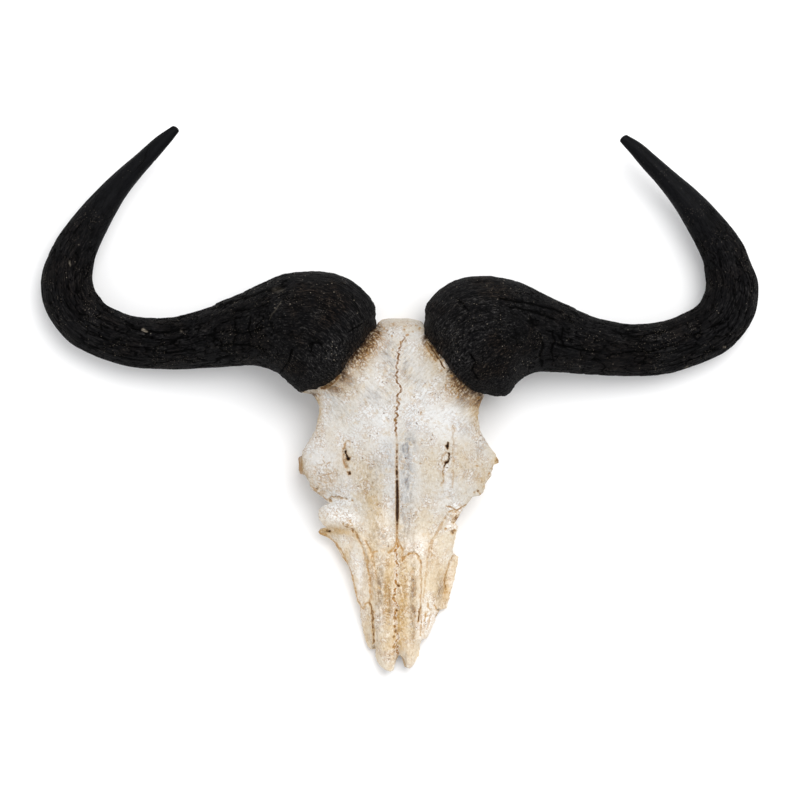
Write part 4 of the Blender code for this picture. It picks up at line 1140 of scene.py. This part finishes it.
def boneWires(wire):
    # What the bone's layers share: the marks of its mesh, its places and their noise. The grain runs down the
    # nose, and on the forehead up and away from the middle line.
    names = ("tan", "grey", "pale", "near", "brown", "burr", "rough", "seam", "inside", "wall", "stain")
    bone = SimpleNamespace(**{name: wire.read(name) for name in names})
    bone.place = place = wire.node("ShaderNodeTexCoord", output="Object")
    sideways, bone.down, bone.height = (place.axis(name) for name in "XYZ")
    bone.nose = bone.down.between(-0.09, -0.135)
    bone.broad, bone.patchy = place.noise(26, 3, 0.6), place.noise(70, 3, 0.6)
    bone.mottle, bone.fine = place.noise(120, 4, 0.7), place.noise(500, 4, 0.72)

    out = sideways.size()
    corner = {0: (out - bone.down) * 0.7, 1: (out + bone.down) * 0.7, 2: bone.height + sideways * 0.45}
    aslant = place.node("ShaderNodeCombineXYZ", {}, corner)
    forehead = bone.down.between(-0.06, -0.01)

    def fibrous(onNose, onForehead, detail, roughness):
        # Noise stretched along the grain, from (squash, scale) for the nose and for the forehead.
        straight, slanted = (
            way.times((1, squash, 0.5)).noise(scale, detail, roughness)
            for way, (squash, scale) in ((place, onNose), (aslant, onForehead))
        )
        return straight * (1 - forehead) + slanted * forehead

    bone.grain = fibrous((0.28, 380), (0.2, 400), 4, 0.68)
    bone.strokes = fibrous((0.5, 560), (0.26, 560), 3, 0.66)
    curls = (place.noise(330, 2, 0.5) - 0.5).size().between(0.07, 0.02)
    often = 0.15 + bone.patchy.between(0.44, 0.58) * (0.3 + bone.tan * 0.5) + bone.burr + bone.rough * 0.4
    bone.hooks = curls * often
    bone.specks = place.spots(230).between(0.2, 0.1) * bone.patchy.between(0.5, 0.62)
    bone.pores = place.spots(520).between(0.42, 0.2) * bone.height.between(0.0009, 0.0003) * bone.wall
    bone.burrPlace = wire.read("burrPlace", "Vector")
    bone.streaks = bone.burrPlace.times((1, 0.42, 1)).noise(520, 3, 0.6)
    return bone


def agedBone(bone):
    # Cream bone mottled by noise: tan and grey where the patches are, dirt in the strokes and in fine grains,
    # then curling golden lines and brown specks.
    tan, grey, nose = bone.tan, bone.grey, bone.nose
    mottle, grain, strokes = bone.mottle, bone.grain, bone.strokes
    # Grey patches: grey stain, and painted shade under the horns' bosses and in the nasal seam's gap
    greyStainAndShade = nose.lay(boneFinish["taupe"], boneFinish["grey"])
    return layered(boneFinish, boneFinish["cream"], [
        (bone.broad.between(0.62, 0.4) * 0.4 + tan * 0.6 + nose * 0.25, "warm"),
        (bone.pale + bone.patchy.between(0.5, 0.6) * 0.6, "white"),
        (tan * (mottle.between(0.35, 0.58) * 0.65 + grain.between(0.42, 0.58) * 0.3 + nose * 0.15), "tan"),
        (grey * (mottle.between(0.4, 0.56) * 0.5 + grain.between(0.44, 0.58) * 0.6), greyStainAndShade),
        (mottle.between(0.45, 0.36) * 0.35, "tan"),
        (strokes.between(0.46, 0.34) * (0.14 + tan * 0.4 + grey * 0.5), "dirt"),
        (bone.fine.between(0.44, 0.33) * (0.12 + tan * 0.3), "dirt"),
        (strokes.between(0.53, 0.66) * 0.4, "white"),
        (bone.hooks * 0.7, "golden"),
        (bone.specks * 0.7, "brown"),
    ])


def seamThread(bone, face):
    # The middle seam above the open slot and below it: a golden brown thread with light rims and small
    # stitches.
    nose, down = bone.nose, bone.down
    wander = (bone.seam + (bone.fine - 0.5) * 0.001).size()
    closed = down.between(-0.036, -0.028) * down.between(0.062, 0.05) + down.between(-0.122, -0.13)
    stitches = bone.place.spots(420).between(0.3, 0.16) * wander.between(0.0028, 0.0014) * closed
    beads = bone.place.noise(360, 2).between(0.4, 0.56)
    glints = beads * (0.4 + nose * 0.4) + 0.45 - nose * 0.25
    return layered(boneFinish, face, [
        (wander.between(0.0024, 0.0012) * closed * 0.6, "white"),
        (stitches * 0.55, "brown"),
        (wander.between(0.0016, 0.0008) * closed * glints, "golden"),
        (wander.between(0.0011, 0.0004) * closed * (beads * 0.55 + 0.3) * (1 - nose * 0.75), "brown"),
    ])


def burrStains(bone, face):
    # Short streaks and curls across the horns' borders, tan to dark by the strength of the burr, greyed where
    # grey patches lie on them, and darkest in a narrow band beside the horns. The grey at the burrs' lower
    # ends is painted shade under the horns' bosses, and the dark band is part dirt, part painted shade where
    # horn meets bone.
    burr, streaks = bone.burr, bone.streaks
    rings = (bone.place.noise(270, 1.5, 0.5) - 0.5).size().between(0.09, 0.04)
    # Dirt and painted shade: a band up to 9 mm in from each horn's border
    borderShadeAndDirt = bone.burrPlace.axis("Y").between(0.009, 0.001) * burr.between(0.1, 0.5)
    return layered(boneFinish, face, [
        (burr * 0.45, "tan"),
        (burr * streaks.between(0.44, 0.56) * 0.7, "golden"),
        (burr * rings * 0.95, "brown"),
        (burr.between(0.35, 0.9) * streaks.between(0.52, 0.62) * 0.85, "brown"),
        (burr.between(0.6, 1.0) * streaks.between(0.58, 0.68) * 0.9, "dark"),
        # Painted shade: taupe where grey patches lie on the burrs' lower ends, under the bosses
        (bone.grey * burr * (bone.mottle.between(0.4, 0.56) * 0.5 + 0.4), "taupe"),
        # Dirt and painted shade: dark right beside the horns
        (borderShadeAndDirt * (streaks.between(0.4, 0.56) * 0.55 + 0.35), "dark"),
    ])


def markColours(bone, face):
    # Lines, cracks and holes: a tan rim, then golden, brown or dark by the strength of the mark. Noise breaks
    # up the weak ones.
    near, brown = bone.near, bone.brown
    broken = bone.place.noise(330, 2).between(0.38, 0.56) * 0.82 + 0.18
    core = (near + (bone.fine - 0.5) * 0.7 * near.between(0.0, 0.3)).between(0.42, 0.75)
    tone = layered(boneFinish, boneFinish["golden"], [
        (brown.between(0.55, 0.9) * near.between(0.42, 0.72), "brown"),
        (brown.between(0.8, 1.0) * near.between(0.6, 0.95), "dark"),
    ])
    strength = brown.between(0.0, 0.6) * broken * 0.75 + brown.between(0.6, 0.9) * (0.15 + broken * 0.1)
    strength = strength + brown.between(0.85, 0.98) * (1 - broken) * 0.8
    rim = near.between(0.05, 0.6) * brown * (0.5 + bone.nose * 0.35)
    return layered(boneFinish, face, [(rim, "tan"), (core * strength, tone)])


def sidesOfBone(bone, face):
    # The stained wall of the eye socket, the tan hollow, and the porous edge of the walls at the sawn back.
    mottle = bone.mottle
    return layered(boneFinish, face, [
        (bone.stain * (0.6 + mottle.between(0.4, 0.6) * 0.4), "golden"),
        (bone.inside * 0.8, mottle.between(0.3, 0.65).lay(boneFinish["inside"], boneFinish["tan"])),
        (bone.height.between(0.0016, 0.0004) * bone.wall * 0.6, "inside"),
        (bone.pores * 0.8, "dirt"),
    ])


def weatheredBone():
    # The bone's layers, times one tint for the face and a paler, warmer one for the nose, and brightened
    # further on
    # the pale parts: on the nose for their paleness, on the lacrimal lobes as painted light against their
    # shade.
    # The relief is a sum of the noises, less the specks, pores and curls.
    finish, shader, wire = startFinish("weathered_bone")
    bone = boneWires(wire)
    face = agedBone(bone)
    for layer in (seamThread, burrStains, markColours, sidesOfBone):
        face = layer(bone, face)
    tint = (bone.nose * (1 - bone.pale * 0.55)).lay(boneFinish["noseTint"], boneFinish["faceTint"])
    # Painted light: the lacrimal lobes lifted against the shade they lie in
    lobe = bone.down.between(-0.085, -0.095) * bone.down.between(-0.13, -0.115) * boneFinish["lobePaintedLight"]
    paleLiftAndPaintedLight = bone.pale * (lobe + bone.nose * boneFinish["noseGlow"]) + 1
    face = face.times(tint)
    face = face.node("ShaderNodeVectorMath", {"operation": "SCALE"}, {0: face, "Scale": paleLiftAndPaintedLight})

    texture = bone.fine * 0.7 + bone.grain * 0.9 + bone.strokes * 0.8 + bone.mottle * 0.8
    texture = texture + bone.burr * bone.streaks * 1.8 - bone.specks * 0.5 - bone.pores - bone.hooks * 0.5
    connect(
        shader,
        Base_Color=face,
        Roughness=0.62 + bone.mottle * 0.2,
        Normal=texture.bump(boneFinish["relief"]),
        Specular_IOR_Level=0.2,
    )
    return finish


hornFinish = {
    "black": shade(12, 12, 14),
    "worn": shade(78, 76, 75),
    "tip": shade(10, 11, 15),
    "brown": shade(62, 50, 40),
    "crack": shade(2, 2, 2),
    "fleck": shade(196, 184, 166),
    "sheen": 0.08,  # of the coat towards the tips
    "relief": 0.0012,
}


def blackHorn():
    # Near-black sheath: fibres along it, grains worn grey mostly on the boss, black in the cracks and at the
    # zero lines of long noise, thinly brown at the base, with pale flecks, and a faint coat towards the tips.
    finish, shader, wire = startFinish("black_horn")
    straight = wire.read("straight", "Vector")
    crack, plate, fromTip, scraped = (wire.read(name) for name in ("crack", "plate", "fromTip", "scraped"))
    place = wire.node("ShaderNodeTexCoord", output="Object")
    along = straight.axis("Z")
    fibres, ridges, coarse, bark, long, fine = (
        straight.times((1, 1, squash)).noise(scale, detail, roughness)
        for squash, scale, detail, roughness in (
            (0.3, 1000, 3, 0.7),
            (0.05, 620, 2, 0.5),
            (0.14, 330, 3, 0.65),
            (0.26, 820, 4, 0.75),
            (0.07, 340, 3, 0.6),
            (0.1, 800, 2, 0.6),
        )
    )
    grooves = (long - 0.5).size().between(0.04, 0.01)
    hairs = fine.between(0.5, 0.62) * along.between(0.04, 0.008)
    broad, patchy = place.noise(24, 3, 0.6), place.noise(75, 3, 0.6)
    boss, tip = along.between(0.12, 0.07), fromTip.between(0.16, 0.06)

    wear = fibres.between(0.5, 0.66) * (0.32 - boss * 0.02) + ridges.between(0.5, 0.62) * (0.11 - boss * 0.08)
    wear = wear + bark.between(0.52, 0.64) * (0.22 + boss * 0.62) + plate * 0.03
    wear = wear * (0.5 + patchy.between(0.36, 0.62) * 0.5) * (1 - tip * 0.75) + hairs * 0.4
    rust = (broad.between(0.45, 0.6) * 0.6).lay(hornFinish["brown"], hornFinish["worn"])
    flecks = place.spots(250).between(0.15, 0.08) * patchy.between(0.5, 0.6)
    flecks = flecks * (0.6 + boss * 0.4) * (1 - tip * 0.7)
    dust = place.spots(560).between(0.26, 0.12) * place.noise(45, 2).between(0.5, 0.62)
    dust = dust * (0.5 - boss * 0.1 - tip * 0.25)
    sheath = layered(hornFinish, hornFinish["black"], [
        (wear, rust),
        (tip * 0.7, "tip"),
        (along.between(0.006, 0.0) * coarse.between(0.42, 0.6) * 0.8, "brown"),
        (broad.between(0.54, 0.64) * bark.between(0.5, 0.6) * 0.35 * boss, "brown"),
        (grooves * (0.7 - tip * 0.5), "crack"),
        (crack.between(0.15, 0.7) * 0.9, "crack"),
        (flecks * 0.6 + dust * 0.45 + scraped * (0.5 + fibres.between(0.4, 0.6) * 0.5), "fleck"),
    ])

    texture = fibres * (1 - tip * 0.6) + ridges * 0.6 + coarse * 0.6 + bark * (0.4 + boss * 0.8) + hairs * 0.5
    connect(
        shader,
        Base_Color=sheath,
        Roughness=0.5 + bark * 0.25 - tip * 0.12,
        Normal=(texture - crack * 0.6 - grooves * 0.6).bump(hornFinish["relief"]),
        Specular_IOR_Level=0.03,
        Coat_Weight=tip * hornFinish["sheen"],
        Coat_Roughness=0.5,
    )
    return finish


def whiteFloor():
    finish, shader, _ = startFinish("white_floor")
    connect(shader, Base_Color=(0.94, 0.94, 0.94, 1), Roughness=1.0, Specular_IOR_Level=0.0)
    return finish


# The object

bonePlate = buildSkull(weatheredBone())
sheathFinish = blackHorn()
for piece, node, slot in (
    (bonePlate, "skull_plate", "bone"),
    (buildHorn("left_sheath", hornLeft, sheathFinish), "horn_left", "horn"),
    (buildHorn("right_sheath", hornRight, sheathFinish), "horn_right", "horn"),
):
    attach(piece, "root")
    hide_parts(node)


# Floor, light and camera

studio = {
    "floorHalf": 12.0,
    "sky": 0.92,
    "skyColour": (0.986, 0.989, 1.0, 1),
    "key": {"place": (1.35, 1.95, 4.95), "width": 3.8, "power": 211.0, "colour": (1.0, 0.998, 0.995)},
    "cameraHeight": 4.04,
    "cameraAcross": 0.00225,
    "lens": 200.0,
}


def buildStudio():
    # A square floor, an even sky, one round lamp that faces the origin, and the camera straight above.
    half = studio["floorHalf"]
    data = bpy.data.meshes.new("floor")
    corners = [(-half, -half, 0), (half, -half, 0), (half, half, 0), (-half, half, 0)]
    data.from_pydata(corners, [], [(0, 1, 2, 3)])
    data.materials.append(whiteFloor())
    addObject("floor", data)

    world = bpy.data.worlds.new("studio")
    world.use_nodes = True
    world.node_tree.nodes["Background"].inputs["Color"].default_value = studio["skyColour"]
    world.node_tree.nodes["Background"].inputs["Strength"].default_value = studio["sky"]
    bpy.context.scene.world = world

    key = studio["key"]
    light = bpy.data.lights.new("key", "AREA")
    light.shape = "DISK"
    light.size = key["width"]
    light.energy = key["power"]
    light.color = key["colour"]
    lamp = addObject("key", light)
    lamp.location = key["place"]
    lamp.rotation_euler = (-lamp.location).to_track_quat("-Z", "Y").to_euler()

    camera = bpy.data.cameras.new("camera")
    camera.lens = studio["lens"]
    camera.sensor_width = 36.0
    eye = addObject("camera", camera)
    eye.location = (studio["cameraAcross"], 0, studio["cameraHeight"])
    bpy.context.scene.camera = eye
    bpy.context.scene.view_settings.view_transform = "Standard"


buildStudio()
print("studio ready")
